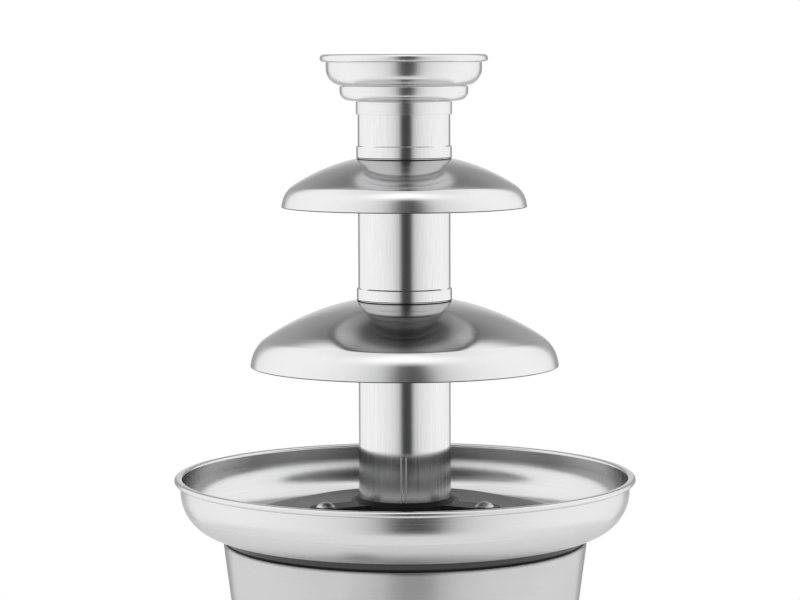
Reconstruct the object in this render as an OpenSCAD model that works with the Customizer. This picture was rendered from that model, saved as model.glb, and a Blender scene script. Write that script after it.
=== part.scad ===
// Three tier chocolate fountain: motor base, heated bowl, stacked tubes with domed tiers, crown and auger.
// The tower axis is Z, the table is z = 0 and the front, with the controls, faces -Y. Millimetres.

/* [Tower] */
// Outer radius of the tower tubes
tube_r = 27; // [24:0.5:30]
// Wall of the tower tubes
tube_wall = 1; // [0.8:0.1:1.4]
// Foot of the lower tube up to the lower dome
lower_tube_h = 116; // [95:1:140]
// Lower dome up to the upper dome
middle_tube_h = 82.7; // [65:0.1:105]
// Upper dome up to the crown's seat
top_tube_h = 32.5; // [26:0.5:50]
// Height of the belled collar at the foot of a tube
collar_h = 6.4; // [5:0.1:9]
// Wall of the belled collar
collar_wall = 0.8; // [0.6:0.1:1.2]
// Radial slip clearance of collars and sleeves
slip_gap = 0.08; // [0.05:0.01:0.1]
// Visible seam left between a collar and the dome below it
seam = 0.3; // [0.3:0.05:0.6]
// Radius of the inlet arches in the foot of the lower tube
notch_r = 6.5; // [4:0.5:8]

/* [Domes] */
// Rim radius of the lower dome
lower_rim_r = 90.2; // [80:0.1:105]
// Radius of the lower dome's long arc
lower_arc_r = 136.9; // [120:0.1:160]
// Slope of the lower dome where it leaves the tube, degrees
lower_slope = 9.9; // [7:0.1:13]
// Shoulder radius of the lower dome
lower_shoulder_r = 21.2; // [16:0.1:26]
// Rim radius of the upper dome
upper_rim_r = 71.6; // [64:0.1:80]
// Radius of the upper dome's long arc
upper_arc_r = 107.6; // [95:0.1:130]
// Slope of the upper dome where it leaves the tube, degrees
upper_slope = 11.6; // [8:0.1:14]
// Shoulder radius of the upper dome
upper_shoulder_r = 15.3; // [11:0.1:20]
// Slope of the skirt at a dome's rim, degrees
skirt_slope = 79; // [70:1:86]
// Length of the straight skirt at a dome's rim
skirt_l = 2.5; // [1:0.1:5]
// Sheet thickness of the domes
dome_sheet = 1; // [0.8:0.1:1.4]
// Height of the neck that joins a dome to its tube
neck_h = 7; // [4:0.5:10]

/* [Crown] */
// Outer radius of the crown's wide cup
crown_r = 45.4; // [42:0.1:52]
// Outer radius of the crown's small lower cup
crown_step_r = 37.4; // [35.5:0.1:40]
// Height of the small lower cup
crown_step_h = 8.2; // [7:0.1:12]
// Height of the wide cup up to the middle of its rolled rim
crown_cup_h = 16.6; // [13:0.1:22]
// Corner radius of the small lower cup
crown_step_corner = 6; // [4:0.1:7]
// Corner radius of the wide cup
crown_corner = 7.2; // [5:0.1:9]
// Radius of the crown's rolled rim
crown_roll = 2.35; // [1.5:0.05:3]
// Length of the sleeve that slips over the top tube
sleeve_l = 7; // [5:0.1:12]
// Sheet thickness of the crown
crown_sheet = 0.9; // [0.7:0.1:1.2]

/* [Bowl] */
// Overhang of the bowl's upright wall beyond the base
bowl_overhang = 25; // [20:0.1:36]
// Radius of the bowl's rolled rim
bowl_roll = 1.75; // [1.2:0.05:2.5]
// Underside of the bowl up to the middle of its rolled rim
bowl_h = 31.5; // [29:0.1:40]
// Outer radius of the bowl's bottom corner
bowl_corner = 25; // [18:0.1:27]
// Sheet thickness of the bowl
bowl_sheet = 1.2; // [0.8:0.1:1.6]
// Height of the mounting pad above the trough
pad_rise = 14.8; // [12:0.1:18]
// Radius of the mounting pad in the middle of the bowl
pad_r = 64; // [60:0.1:70]
// Slope of the raised floor between trough and pad, degrees
hub_slope = 13.3; // [9:0.1:14]
// Slope of the step between trough and raised floor, degrees
step_slope = 60; // [45:1:70]
// Fillet radius of that step
step_fillet = 4; // [3:0.1:5]

/* [Tower mount] */
// Height of the mount's seat for the tube
mount_t = 4.3; // [3.5:0.1:6]
// Thickness of the mount's ears
ear_t = 2.6; // [2:0.1:3.4]
// Width of the mount's plate round the tube
mount_w = 4.5; // [3:0.5:8]
// Radius of the screw circle through the ears
ear_pcd_r = 53; // [51:0.5:54]
// Radius of an ear's round end
ear_r = 9; // [7.5:0.5:10]
// Shank radius of the ear screws
ear_screw_r = 2.5; // [2:0.1:3]
// Head radius of the domed ear screws
ear_head_r = 5.5; // [4.5:0.1:6.5]

/* [Base] */
// Height of the base's top edge above the table
base_h = 121.2; // [112:0.1:140]
// Radius of the base at its top edge
base_r = 106.6; // [104.5:0.1:112]
// Taper of the base's side, degrees
base_taper = 7.18; // [3:0.01:9]
// Sheet thickness of the base shell
shell_wall = 1; // [0.8:0.1:1.5]
// Thickness of the deck at the top of the base shell
deck_t = 1.5; // [1:0.1:2]
// Width of the deck
deck_w = 40.6; // [37:0.1:43]
// Height of the rubber ring between base and bowl
gasket_h = 5.3; // [3:0.1:8]
// Width of the rubber ring between base and bowl
gasket_w = 5.8; // [4:0.1:8]
// Height of the rubber feet under the bottom cover
foot_h = 6; // [4:0.5:10]
// Height of the bottom cover's visible band
plinth_h = 10; // [8:0.5:16]
// Wall of the bottom cover
cover_t = 3; // [2.5:0.1:4]
// Radius of a rubber foot
foot_r = 11; // [8:0.5:13]
// Distance of the tie posts from the base's top edge
post_inset = 24.6; // [23:0.1:26]
// Radius of a tie post
post_r = 5; // [4:0.1:6]
// Thread radius of studs and cover screws
stud_r = 2; // [1.5:0.1:2.5]

/* [Auger] */
// Radius of the auger's core
core_r = 10; // [9.5:0.1:13]
// Radial room between the flight and the tube's bore
flight_gap = 0.6; // [0.4:0.05:1.2]
// Rise of the flight per turn
flight_pitch = 27; // [20:1:36]
// Thickness of the flight
flight_t = 2; // [1.5:0.1:3]

/* [Drive] */
// Radius of the output shaft
shaft_r = 5; // [4:0.1:6]
// Running clearance of shafts in bushes and seals
run_gap = 0.05; // [0.02:0.01:0.1]
// Width across flats of the hexagonal drive dog
dog_af = 14; // [12:0.1:15]
// Height of the drive dog
dog_h = 12; // [9:0.5:16]
// Slip clearance around the drive dog
dog_gap = 0.15; // [0.1:0.01:0.3]
// Height of the gearbox room between bracket and cover
gearbox_h = 24; // [22:0.5:28]
// Room between the gearbox and the bowl
gearbox_drop = 16; // [14.5:0.5:20]
// Module of the first gear pair
module_1 = 0.8; // [0.7:0.05:0.85]
// Module of the second gear pair
module_2 = 1; // [0.9:0.05:1.05]
// Teeth of both pinions
pinion_teeth = 14; // [13:1:15]
// Teeth of the gear that the motor turns
idler_teeth = 50; // [46:1:52]
// Teeth of the gear on the output shaft
output_teeth = 46; // [42:1:48]
// Face width of the gears
gear_w = 6; // [5:0.1:7]
// Radius of the motor
motor_r = 19; // [16:0.5:21]
// Length of the motor
motor_l = 44; // [36:1:50]

/* [Heater] */
// Distance of the heating ring from the tie posts
heater_inset = 9; // [8.6:0.1:10]
// Tube radius of the heating ring
heater_tube_r = 3.6; // [3:0.1:4]

/* [Controls] */
// Height of the controls on the base
control_z = 56; // [50:0.5:64]
// Angle between the front and the dial, and between the front and the switch
control_step = 20; // [18:0.5:24]
// Radius of the dial knob
knob_r = 16; // [13:0.5:17]
// Height of the dial knob
knob_h = 15; // [12:0.5:20]
// Height of the control panel
panel_h = 42; // [40:1:48]
// Half angle that the control panel spans
panel_half = 34; // [33:0.5:40]
// Thickness of the control panel
panel_t = 2.2; // [1.6:0.1:3]
// Radius of the pilot lamp
lamp_r = 4; // [3:0.1:5]
// Tilt of the rocker at rest, degrees
rocker_tilt = 7; // [5:0.5:9]
// Height of the mains inlet on the base
inlet_z = 44; // [40:0.5:50]

/* [Hidden] */
$fn = 96;
weld_gap = 0.05;
eps = 0.02;

// Heights, from the table up
bowl_z = base_h + gasket_h;
trough_z = bowl_z + bowl_sheet;
pad_z = trough_z + pad_rise;
pad_under_z = pad_z - bowl_sheet;
mount_z = pad_z + mount_t;
lower_z = mount_z + lower_tube_h;
upper_z = lower_z + middle_tube_h;
crown_z = upper_z + top_tube_h;
spigot_h = collar_h - 0.8;
lower_spigot_z = lower_z + seam + spigot_h;
upper_spigot_z = upper_z + seam + spigot_h;
cover_z = foot_h + cover_t;
plinth_z = foot_h + plinth_h;
gearbox_top_z = pad_under_z - gearbox_drop;
bracket_t = 2;
bracket_z = gearbox_top_z - gearbox_h;

// Radii that follow from others
edge_gap = 0.4;
bowl_r = base_r + bowl_overhang;
gasket_r = base_r - edge_gap;
gasket_in_r = gasket_r - gasket_w;
trough_r = gasket_in_r - edge_gap;
deck_open_r = base_r - deck_w;
post_pcd_r = base_r - post_inset;
heater_r = post_pcd_r - heater_inset;
bore_r = tube_r - tube_wall;
collar_in_r = tube_r + slip_gap;
collar_r = collar_in_r + collar_wall;
sleeve_r = collar_in_r + crown_sheet;
flight_r = bore_r - flight_gap;
inner_bowl_r = bowl_r - bowl_sheet;
corner_c = [bowl_r - bowl_corner, bowl_z + bowl_corner];
rim_z = bowl_z + bowl_h;
ear_angles = [90, 210, 330];
notch_angles = [20, 60, 120, 160];
post_angles = [45, 135, 225, 315];
foot_angles = [0, 90, 180, 270];

// Outer radius of the tapered base shell at a height
function shell_r(z) = base_r - (base_h - z) * tan(base_taper);
// Points along an arc
function polar(r, a) = r * [cos(a), sin(a)];
function arc(c, r, a0, a1, n = 8) = [for (i = [0:n]) c + polar(r, a0 + (a1 - a0) * i / n)];
function flip(list) = [for (i = [len(list) - 1:-1:0]) list[i]];
// Height of the raised floor's upper face at a radius
function floor_z(r) = pad_z - (r - pad_r) * tan(hub_slope);

module spin_copies(angles) for (a = angles) rotate([0, 0, a]) children();
module ring(r_out, r_in, z0, z1) difference() {
    translate([0, 0, z0]) cylinder(r = r_out, h = z1 - z0);
    translate([0, 0, z0 - 1]) cylinder(r = r_in, h = z1 - z0 + 2);
}
module at_posts() spin_copies(post_angles) translate([post_pcd_r, 0, 0]) children();
module at_feet() spin_copies(foot_angles) translate([foot_pcd_r, 0, 0]) children();
module at_ears() spin_copies(ear_angles) translate([ear_pcd_r, 0, 0]) children();
module disc(r, z0, z1) translate([0, 0, z0]) cylinder(r = r, h = z1 - z0);
module hex_bar(af, z0, z1) translate([0, 0, z0]) cylinder(r = af / 2 / cos(30), h = z1 - z0, $fn = 6);
// Local frame on the base's side: +Z points out of the shell, +X down it, +Y round it
module on_side(az, z, lift = 0) rotate([0, 0, az]) translate([shell_r(z), 0, z])
    rotate([0, 90 + base_taper, 0]) translate([0, 0, lift]) children();

// Turned domes
// Slope where the long arc passes into the shoulder, so that the skirt ends at the rim radius
function join_slope(r0, rim, arc_r, slope, shoulder) =
    asin((rim - r0 - skirt_l * cos(skirt_slope) + arc_r * sin(slope) - shoulder * sin(skirt_slope))
         / (arc_r - shoulder));
module dome(z0, rim, arc_r, slope, shoulder) {
    r0 = tube_r + weld_gap;
    a1 = join_slope(r0, rim, arc_r, slope, shoulder);
    c1 = [r0 - arc_r * sin(slope), z0 - arc_r * cos(slope)];
    c2 = c1 + (arc_r - shoulder) * [sin(a1), cos(a1)];
    run = skirt_l * [cos(skirt_slope), -sin(skirt_slope)];
    // the inside of the sheet starts where the neck's outer face meets it
    neck_slope = asin((r0 + dome_sheet - c1[0]) / (arc_r - dome_sheet));
    outer = concat(arc(c1, arc_r, 90 - slope, 90 - a1, 10),
                   arc(c2, shoulder, 90 - a1, 90 - skirt_slope, 10));
    inner = concat(arc(c1, arc_r - dome_sheet, 90 - neck_slope, 90 - a1, 10),
                   arc(c2, shoulder - dome_sheet, 90 - a1, 90 - skirt_slope, 10));
    rotate_extrude() polygon(concat(
        outer, [outer[len(outer) - 1] + run, inner[len(inner) - 1] + run], flip(inner),
        [[r0 + dome_sheet, z0 - neck_h], [r0, z0 - neck_h]]));
}
module lower_dome() color("gainsboro")
    dome(lower_z, lower_rim_r, lower_arc_r, lower_slope, lower_shoulder_r);
module upper_dome() color("gainsboro")
    dome(upper_z, upper_rim_r, upper_arc_r, upper_slope, upper_shoulder_r);

// Tower tubes
module lower_tube() color("gainsboro") difference() {
    ring(tube_r, bore_r, mount_z, lower_spigot_z);
    spin_copies(notch_angles) translate([bore_r - 4, 0, mount_z - notch_r / 4])
        rotate([0, 90, 0]) cylinder(r = notch_r, h = tube_wall + 8, $fn = 48);
}
// Tube whose belled foot slips over the spigot of the tube below
module belled_tube(foot_z, seat_z, top_z) {
    bell_z = foot_z + collar_h;
    ease = collar_r - tube_r;
    rotate_extrude() polygon([
        [collar_in_r, foot_z], [collar_r, foot_z], [collar_r, bell_z], [tube_r, bell_z + ease],
        [tube_r, top_z], [bore_r, top_z], [bore_r, seat_z], [collar_in_r, seat_z]]);
}
module middle_tube() color("gainsboro") belled_tube(lower_z + seam, lower_spigot_z, upper_spigot_z);
module top_tube() color("gainsboro") belled_tube(upper_z + seam, upper_spigot_z, crown_z);

// Crown: a small cup, a step and a wide cup with a rolled rim, over a sleeve
module crown_cup() {
    floor_low = crown_z + 0.6;
    c1 = [crown_step_r - crown_step_corner, floor_low + crown_step_corner];
    ledge_z = floor_low + crown_step_h;
    c2 = [crown_r - crown_corner, ledge_z + crown_corner];
    roll_c = [crown_r - crown_sheet - 0.3 + crown_roll, ledge_z + crown_cup_h];
    color("gainsboro") rotate_extrude() {
        polygon(concat(
            [[collar_in_r, crown_z - sleeve_l], [sleeve_r, crown_z - sleeve_l], [sleeve_r, floor_low]],
            arc(c1, crown_step_corner, -90, 0),
            [[crown_step_r, ledge_z]],
            arc(c2, crown_corner, -90, 0),
            [[crown_r, roll_c[1]], [crown_r - crown_sheet, roll_c[1]]],
            flip(arc(c2, crown_corner - crown_sheet, -90, 0)),
            [[crown_step_r - crown_sheet, ledge_z + crown_sheet]],
            flip(arc(c1, crown_step_corner - crown_sheet, -90, 0)),
            [[bore_r, floor_low + crown_sheet], [bore_r, crown_z], [collar_in_r, crown_z]]));
        translate(roll_c) circle(r = crown_roll);
    }
}

// Auger: a core tube, a strip wound round it and a rounded tip
core_z = mount_z + 4;
dog_z = core_z - 0.6;
dog_top_z = dog_z + dog_h;
core_top_z = crown_z - 2;
flight_z = core_z + 2;
flight_end_z = core_top_z - 4;
flight_step = 10;
flight_rings = floor((flight_end_z - flight_z - flight_t) / flight_pitch * 360 / flight_step);
module auger_core() color("silver") difference() {
    disc(core_r, core_z, core_top_z);
    hex_bar(dog_af + 2 * dog_gap, core_z - 1, dog_top_z);
}
module auger_flight() {
    r_in = (core_r + weld_gap) / cos(flight_step / 2);
    section = [[r_in, 0], [flight_r, 0], [flight_r, flight_t], [r_in, flight_t]];
    points = [for (i = [0:flight_rings], p = section)
        [p[0] * cos(i * flight_step), p[0] * sin(i * flight_step),
         flight_z + i * flight_pitch * flight_step / 360 + p[1]]];
    sides = [for (i = [0:flight_rings - 1], k = [0:3]) let (a = 4 * i + k, b = 4 * i + (k + 1) % 4)
        each [[a, b + 4, b], [a, a + 4, b + 4]]];
    last = 4 * flight_rings;
    ends = [[0, 1, 2], [0, 2, 3], [last + 2, last + 1, last], [last + 3, last + 2, last]];
    color("silver") polyhedron(points, concat(sides, ends));
}
tip_r = core_r - 1;
module auger_tip() color("silver") rotate_extrude() polygon(concat(
    [[0, core_top_z], [tip_r, core_top_z]], arc([0, core_top_z + 3], tip_r, 0, 90)));

// Bowl: rolled rim, round corner, flat trough, step and a raised floor with a pad
module bowl() {
    steep = [-cos(step_slope), sin(step_slope)];
    foot_c = [trough_r, trough_z + step_fillet];
    foot_end = foot_c + step_fillet * [-sin(step_slope), -cos(step_slope)];
    // length of the straight step, so that the upper fillet ends on the raised floor
    turn = step_fillet * [sin(hub_slope) - sin(step_slope), cos(hub_slope) - cos(step_slope)];
    rise = floor_z(foot_end[0] + turn[0]) - foot_end[1] - turn[1];
    straight = rise / (sin(step_slope) - cos(step_slope) * tan(hub_slope));
    head_c = foot_end + straight * steep - step_fillet * [sin(step_slope), cos(step_slope)];
    roll_c = [bowl_r + bowl_roll, rim_z];
    top_c = [inner_bowl_r + bowl_roll, rim_z];
    under = bowl_sheet / cos(hub_slope);
    color("silver") difference() {
        rotate_extrude() polygon(concat(
            [[0, pad_z], [pad_r, pad_z]],
            arc(head_c, step_fillet, 90 - hub_slope, 90 - step_slope, 5),
            arc(foot_c, step_fillet, 270 - step_slope, 270, 5),
            arc(corner_c, bowl_corner - bowl_sheet, 270, 360, 12),
            arc(top_c, bowl_roll, 180, 90, 5),
            arc(roll_c, bowl_roll, 90, -130, 12),
            [[bowl_r, rim_z - bowl_roll]],
            arc(corner_c, bowl_corner, 360, 270, 12),
            arc(foot_c, step_fillet + bowl_sheet, 270, 270 - step_slope, 5),
            arc(head_c, step_fillet - bowl_sheet, 90 - step_slope, 90 - hub_slope, 5),
            [[pad_r, pad_z - under], [pad_r - 2, pad_under_z], [0, pad_under_z]]));
        disc(carrier_r + eps, pad_under_z - 1, pad_z + 1);
        at_ears()
            disc(ear_screw_r + run_gap, pad_under_z - 1, pad_z + 1);
    }
}
gasket_lean = 1.6;
module bowl_gasket() color("black") rotate_extrude() polygon([
    [gasket_in_r, base_h], [gasket_r - gasket_lean, base_h], [gasket_r, bowl_z - gasket_h / 4],
    [gasket_r, bowl_z], [gasket_in_r, bowl_z]]);

// Tower mount: a black plate with three arms, a low seat for the tube and lugs that centre it
lug_h = 3.2;
lug_w = 2.4;
lug_turn = 30;
seat_foot_r = tube_r + 2;
seat_top_r = tube_r + 0.6;
mount_r = tube_r + mount_w;
mount_open_r = 20;
ear_top_z = pad_z + ear_t;
module lug_section() translate([bore_r - slip_gap - lug_w, mount_z - 1]) square([lug_w, lug_h + 1]);
module tower_mount() color("dimgray") difference() {
    union() {
        disc(mount_r, pad_z, ear_top_z);
        spin_copies(ear_angles) translate([0, 0, pad_z]) linear_extrude(ear_t) {
            translate([ear_pcd_r, 0]) circle(r = ear_r);
            translate([0, -ear_r]) square([ear_pcd_r, 2 * ear_r]);
        }
        translate([0, 0, ear_top_z]) cylinder(r1 = seat_foot_r, r2 = seat_top_r, h = mount_t - ear_t);
        spin_copies(ear_angles) rotate([0, 0, -lug_turn / 2]) rotate_extrude(angle = lug_turn) lug_section();
    }
    disc(mount_open_r, pad_z - 1, mount_z + 1);
    at_ears() disc(ear_screw_r + run_gap, pad_z - 1, mount_z);
}
head_h = 2.8;
module mount_screws() color("silver") at_ears() {
    ball_r = (ear_head_r * ear_head_r + head_h * head_h) / 2 / head_h;
    rotate_extrude() polygon(concat(
        [[0, nut_z - 1], [ear_screw_r, nut_z - 1], [ear_screw_r, ear_top_z], [ear_head_r, ear_top_z]],
        arc([0, ear_top_z + head_h - ball_r], ball_r, acos(ear_head_r / ball_r), 90, 6)));
}
nut_h = 4;
nut_z = bracket_z - bracket_t - nut_h;
spacer_r = 5;
module bracket_spacers() color("silver") at_ears()
    ring(spacer_r, ear_screw_r + run_gap, bracket_z, pad_under_z);
module mount_nuts() color("silver") at_ears() difference() {
    hex_bar(3.2 * ear_screw_r, nut_z, bracket_z - bracket_t);
    disc(ear_screw_r + eps, nut_z - 1, bracket_z);
}

// Gear train: motor pinion, two step idler and output gear on the tower axis
train_angle = 150;
tooth_add = 0.8;
tooth_ded = 1.12;
backlash = 0.14;
pressure = 20;
idler_dist = module_2 * (pinion_teeth + output_teeth) / 2;
motor_dist = module_1 * (pinion_teeth + idler_teeth) / 2;
idler_at = polar(idler_dist, train_angle);
motor_angle = train_angle + 120;
motor_at = idler_at + polar(motor_dist, motor_angle);
case_off = 14;
case_at = polar(case_off, train_angle);
case_wall = 2;
case_room = 1.2;
output_reach = case_off + module_2 * (output_teeth / 2 + tooth_add);
idler_reach = idler_dist - case_off + module_1 * (idler_teeth / 2 + tooth_add);
case_r = max(output_reach, idler_reach) + case_room + case_wall;
stage_1_z = bracket_z + case_wall + 1.6;
stage_2_z = stage_1_z + gear_w + 2;
function involute(rb, r) = let (a = acos(rb / r)) tan(a) * 180 / PI - a;
module gear_outline(m, teeth) {
    pitch = m * teeth / 2;
    rb = pitch * cos(pressure);
    root = pitch - tooth_ded * m;
    tip = pitch + tooth_add * m;
    low = max(rb, root) + 0.001;
    half = 90 / teeth + involute(rb, pitch) - backlash / pitch * 45 / PI;
    radii = [low, (low + tip) / 2, tip];
    flank = [for (r = radii) [r, half - involute(rb, r)]];
    tooth = concat([[root, -half]], [for (f = flank) [f[0], -f[1]]], flip(flank), [[root, half]]);
    polygon([for (i = [0:teeth - 1], q = tooth) polar(q[0], 360 * i / teeth + q[1])]);
}
module gear(m, teeth, turn, z0, w) translate([0, 0, z0]) rotate([0, 0, turn])
    linear_extrude(w) gear_outline(m, teeth);
module at_idler() translate(idler_at) children();
module at_motor() translate(motor_at) children();

idler_pin_r = 2.5;
motor_shaft_r = 1.6;
module output_gear() color("burlywood") difference() {
    gear(module_2, output_teeth, train_angle, stage_2_z, gear_w);
    disc(shaft_r + eps, stage_2_z - 1, stage_2_z + gear_w + 1);
}
module idler_gear() color("burlywood") at_idler() difference() {
    union() {
        gear(module_1, idler_teeth, motor_angle, stage_1_z, gear_w);
        disc(module_2 * (pinion_teeth / 2 - tooth_ded), stage_1_z + gear_w - eps, stage_2_z);
        gear(module_2, pinion_teeth, train_angle + 180 + 180 / pinion_teeth, stage_2_z - 0.5, gear_w + 1);
    }
    disc(idler_pin_r + run_gap, stage_1_z - 1, stage_2_z + gear_w + 2);
}
module motor_pinion() color("goldenrod") at_motor() {
    gear(module_1, pinion_teeth, motor_angle + 180 + 180 / pinion_teeth, stage_1_z - 0.5, gear_w + 1);
    disc(motor_shaft_r, motor_top_z - 12, stage_1_z - 0.5);
}
module idler_pin() color("silver") at_idler() {
    disc(idler_pin_r, bracket_z + eps, gearbox_top_z - case_wall - 0.2);
    disc(idler_pin_r + 1.5, bracket_z + case_wall, stage_1_z - 0.4);
}

// Gearbox, motor and the bracket that hangs them under the bowl
case_angles = [30, 90, 210, 270];
case_screw_r = case_r - 3.4;
motor_top_z = bracket_z - bracket_t;
boss_r = 3;
thin_screw_r = 1.2;
screw_l = 8;
module at_case() translate(case_at) children();
module at_case_screws() at_case() spin_copies(case_angles) translate([case_screw_r, 0, 0]) children();
module gearbox_case() color("gray") difference() {
    union() {
        at_case() ring(case_r, case_r - case_wall, bracket_z, gearbox_top_z - case_wall);
        at_case() disc(case_r - eps, bracket_z, bracket_z + case_wall);
        at_case_screws() disc(boss_r, bracket_z + eps, gearbox_top_z - case_wall);
        disc(shaft_r + 3, bracket_z + eps, stage_1_z + 2);
    }
    at_idler() disc(idler_pin_r + eps, bracket_z - 1, bracket_z + case_wall + 1);
    at_motor() disc(module_1 * pinion_teeth / 2 + 1.6, bracket_z - 1, bracket_z + case_wall + 1);
    disc(shaft_r + run_gap, bracket_z + case_wall, stage_2_z);
    at_case_screws() disc(thin_screw_r + eps, gearbox_top_z - case_wall - screw_l - 1, gearbox_top_z);
}
module gearbox_cover() color("gray") difference() {
    union() {
        at_case() disc(case_r, gearbox_top_z - case_wall, gearbox_top_z);
        disc(shaft_r + 4, gearbox_top_z - eps, gearbox_top_z + 3);
    }
    disc(shaft_r + run_gap, bracket_z, gearbox_top_z + 4);
    at_case_screws() disc(thin_screw_r + eps, bracket_z, gearbox_top_z + 1);
}
module gearbox_screws() color("silver") at_case_screws() {
    disc(thin_screw_r, gearbox_top_z - case_wall - screw_l, gearbox_top_z + eps);
    disc(2 * thin_screw_r, gearbox_top_z, gearbox_top_z + 1.6);
}
module motor_bracket() color("silver") difference() {
    disc(ear_pcd_r + spacer_r + 3, bracket_z - bracket_t, bracket_z);
    at_motor() disc(module_1 * pinion_teeth / 2 + 1.6, bracket_z - bracket_t - 1, bracket_z + 1);
    at_ears()
        disc(ear_screw_r + run_gap, bracket_z - bracket_t - 1, bracket_z + 1);
}
module motor() color("slategray") at_motor() difference() {
    union() {
        disc(motor_r, motor_top_z - motor_l, motor_top_z);
        disc(motor_r * 0.42, motor_top_z - motor_l - 4, motor_top_z - motor_l + eps);
    }
    disc(motor_shaft_r + run_gap, motor_top_z - 13, motor_top_z + 1);
}

// Shaft, bush, seal and drive dog
carrier_r = 11;
carrier_flange_r = 16;
carrier_top_z = mount_z + 0.6;
bush_r = shaft_r + 3;
seal_h = 4;
carrier_l = 9;
carrier_low_z = pad_under_z - carrier_l;
hub_nut_h = 4;
shoulder = 1;
module seal_carrier() color("silver") difference() {
    union() {
        disc(carrier_r, carrier_low_z, carrier_top_z);
        disc(carrier_flange_r, pad_z, pad_z + 2);
    }
    disc(bush_r + eps, carrier_low_z - 1, carrier_top_z - seal_h - shoulder);
    disc(shaft_r + 1, carrier_low_z - 1, carrier_top_z + 1);
    disc(bush_r + eps, carrier_top_z - seal_h, carrier_top_z + 1);
}
module hub_nut() color("silver") difference() {
    hex_bar(2.6 * carrier_r, pad_under_z - hub_nut_h, pad_under_z);
    disc(carrier_r + eps, pad_under_z - hub_nut_h - 1, pad_under_z + 1);
}
module shaft_bush() color("peru")
    ring(bush_r, shaft_r + run_gap, carrier_low_z, carrier_top_z - seal_h - shoulder);
module shaft_seal() color("firebrick")
    ring(bush_r, shaft_r + run_gap, carrier_top_z - seal_h, carrier_top_z);
module output_shaft() color("silver") disc(shaft_r, bracket_z + case_wall + 0.1, dog_top_z - 4);
module drive_dog() color("silver") difference() {
    hex_bar(dog_af, dog_z, dog_top_z);
    disc(shaft_r + eps, dog_z - 1, dog_top_z - 4);
}

// Heater under the raised floor, clamped by a plate on the bowl's studs
heater_z = floor_z(heater_r) - (bowl_sheet + heater_tube_r + seam) / cos(hub_slope);
clamp_z = heater_z - heater_tube_r - seam;
clamp_t = 1.2;
clamp_r = post_pcd_r + post_r + 1;
clamp_in_r = max(heater_r - 2 * heater_tube_r, ear_pcd_r + spacer_r + 1);
stud_top_z = floor_z(post_pcd_r + stud_r) - bowl_sheet / cos(hub_slope) - weld_gap;
post_top_z = base_h - deck_t;
stud_depth = 18;
module heating_ring() color("darkslategray")
    rotate_extrude() translate([heater_r, heater_z]) circle(r = heater_tube_r);
module heater_clamp() color("silver") difference() {
    ring(clamp_r, clamp_in_r, clamp_z - clamp_t, clamp_z);
    at_posts() disc(stud_r + run_gap, clamp_z - clamp_t - 1, clamp_z + 1);
}
module clamp_nuts() color("silver") at_posts() difference() {
    hex_bar(3.6 * stud_r, clamp_z - clamp_t - 3, clamp_z - clamp_t);
    disc(stud_r + eps, clamp_z - clamp_t - 4, clamp_z);
}
module bowl_studs() color("silver") at_posts()
    disc(stud_r, post_top_z - stud_depth + 1, stud_top_z);
cutout_az = 20;
cutout_h = 5;
module thermal_cutout() color("saddlebrown")
    rotate([0, 0, cutout_az]) translate([heater_r + 1, 0, clamp_z - clamp_t]) {
        block(12, 16, -cutout_h, 0);
        block(2, 26, -3.4, -2.4);
    }

// Base shell with its deck, and the bottom cover with feet
module base_shell() color("gainsboro") difference() {
    rotate_extrude() polygon(concat(
        [[shell_r(plinth_z) - shell_wall, plinth_z], [shell_r(plinth_z), plinth_z]],
        arc([base_r - 1.6, base_h - 1.6], 1.6, -base_taper, 90, 4),
        [[deck_open_r, base_h], [deck_open_r, post_top_z],
         [shell_r(post_top_z) - shell_wall - 0.6, post_top_z]]));
    at_posts() disc(stud_r + run_gap, post_top_z - 1, base_h + 1);
    on_side(dial_az, control_z) disc(bushing_r + eps, -8, 8);
    on_side(switch_az, control_z) block(switch_h + 2 * eps, switch_w + 2 * eps, -8, 8);
    on_side(front_az, control_z) disc(lamp_r + eps, -8, 8);
    on_side(rear_az, inlet_z) block(inlet_h + 2 * eps, inlet_w + 2 * eps, -8, 8);
}
module block(x, y, z0, z1) translate([-x / 2, -y / 2, z0]) cube([x, y, z1 - z0]);
spigot_r = shell_r(plinth_z) - shell_wall - 0.25;
vent_count = 9;
module bottom_cover() color("dimgray") difference() {
    union() {
        disc(shell_r(plinth_z) + 1.2, foot_h, cover_z);
        ring(shell_r(plinth_z) + 1.2, spigot_r - 2, cover_z - eps, plinth_z);
        ring(spigot_r, spigot_r - 2, plinth_z - eps, plinth_z + 5);
    }
    at_posts() disc(stud_r + run_gap, foot_h - 1, cover_z + 1);
    at_feet() disc(stud_r + run_gap, foot_h - 1, cover_z + 1);
    for (i = [0:vent_count - 1]) translate([-24, (i - (vent_count - 1) / 2) * 7 - 1.5, foot_h - 1])
        cube([48, 3, cover_t + 2]);
}
foot_pcd_r = spigot_r - foot_r - 3;
sunk = 2.4;
module rubber_feet() color("black") at_feet() difference() {
    cylinder(r1 = foot_r - 1.5, r2 = foot_r, h = foot_h);
    disc(stud_r + run_gap, -1, foot_h + 1);
    disc(2 * stud_r + 0.4, -1, sunk);
}
module foot_screws() color("silver") at_feet() {
    disc(stud_r, sunk - 1, cover_z + 3);
    disc(2 * stud_r, sunk - 1.6, sunk);
}
module tie_posts() color("silver") at_posts() difference() {
    disc(post_r, cover_z, post_top_z);
    disc(stud_r + eps, cover_z - 1, cover_z + stud_depth);
    disc(stud_r + eps, post_top_z - stud_depth, post_top_z + 1);
}
module cover_screws() color("silver") at_posts() {
    disc(stud_r, foot_h - eps, cover_z + stud_depth - 2);
    disc(2 * stud_r, foot_h - 1.8, foot_h);
}

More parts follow.
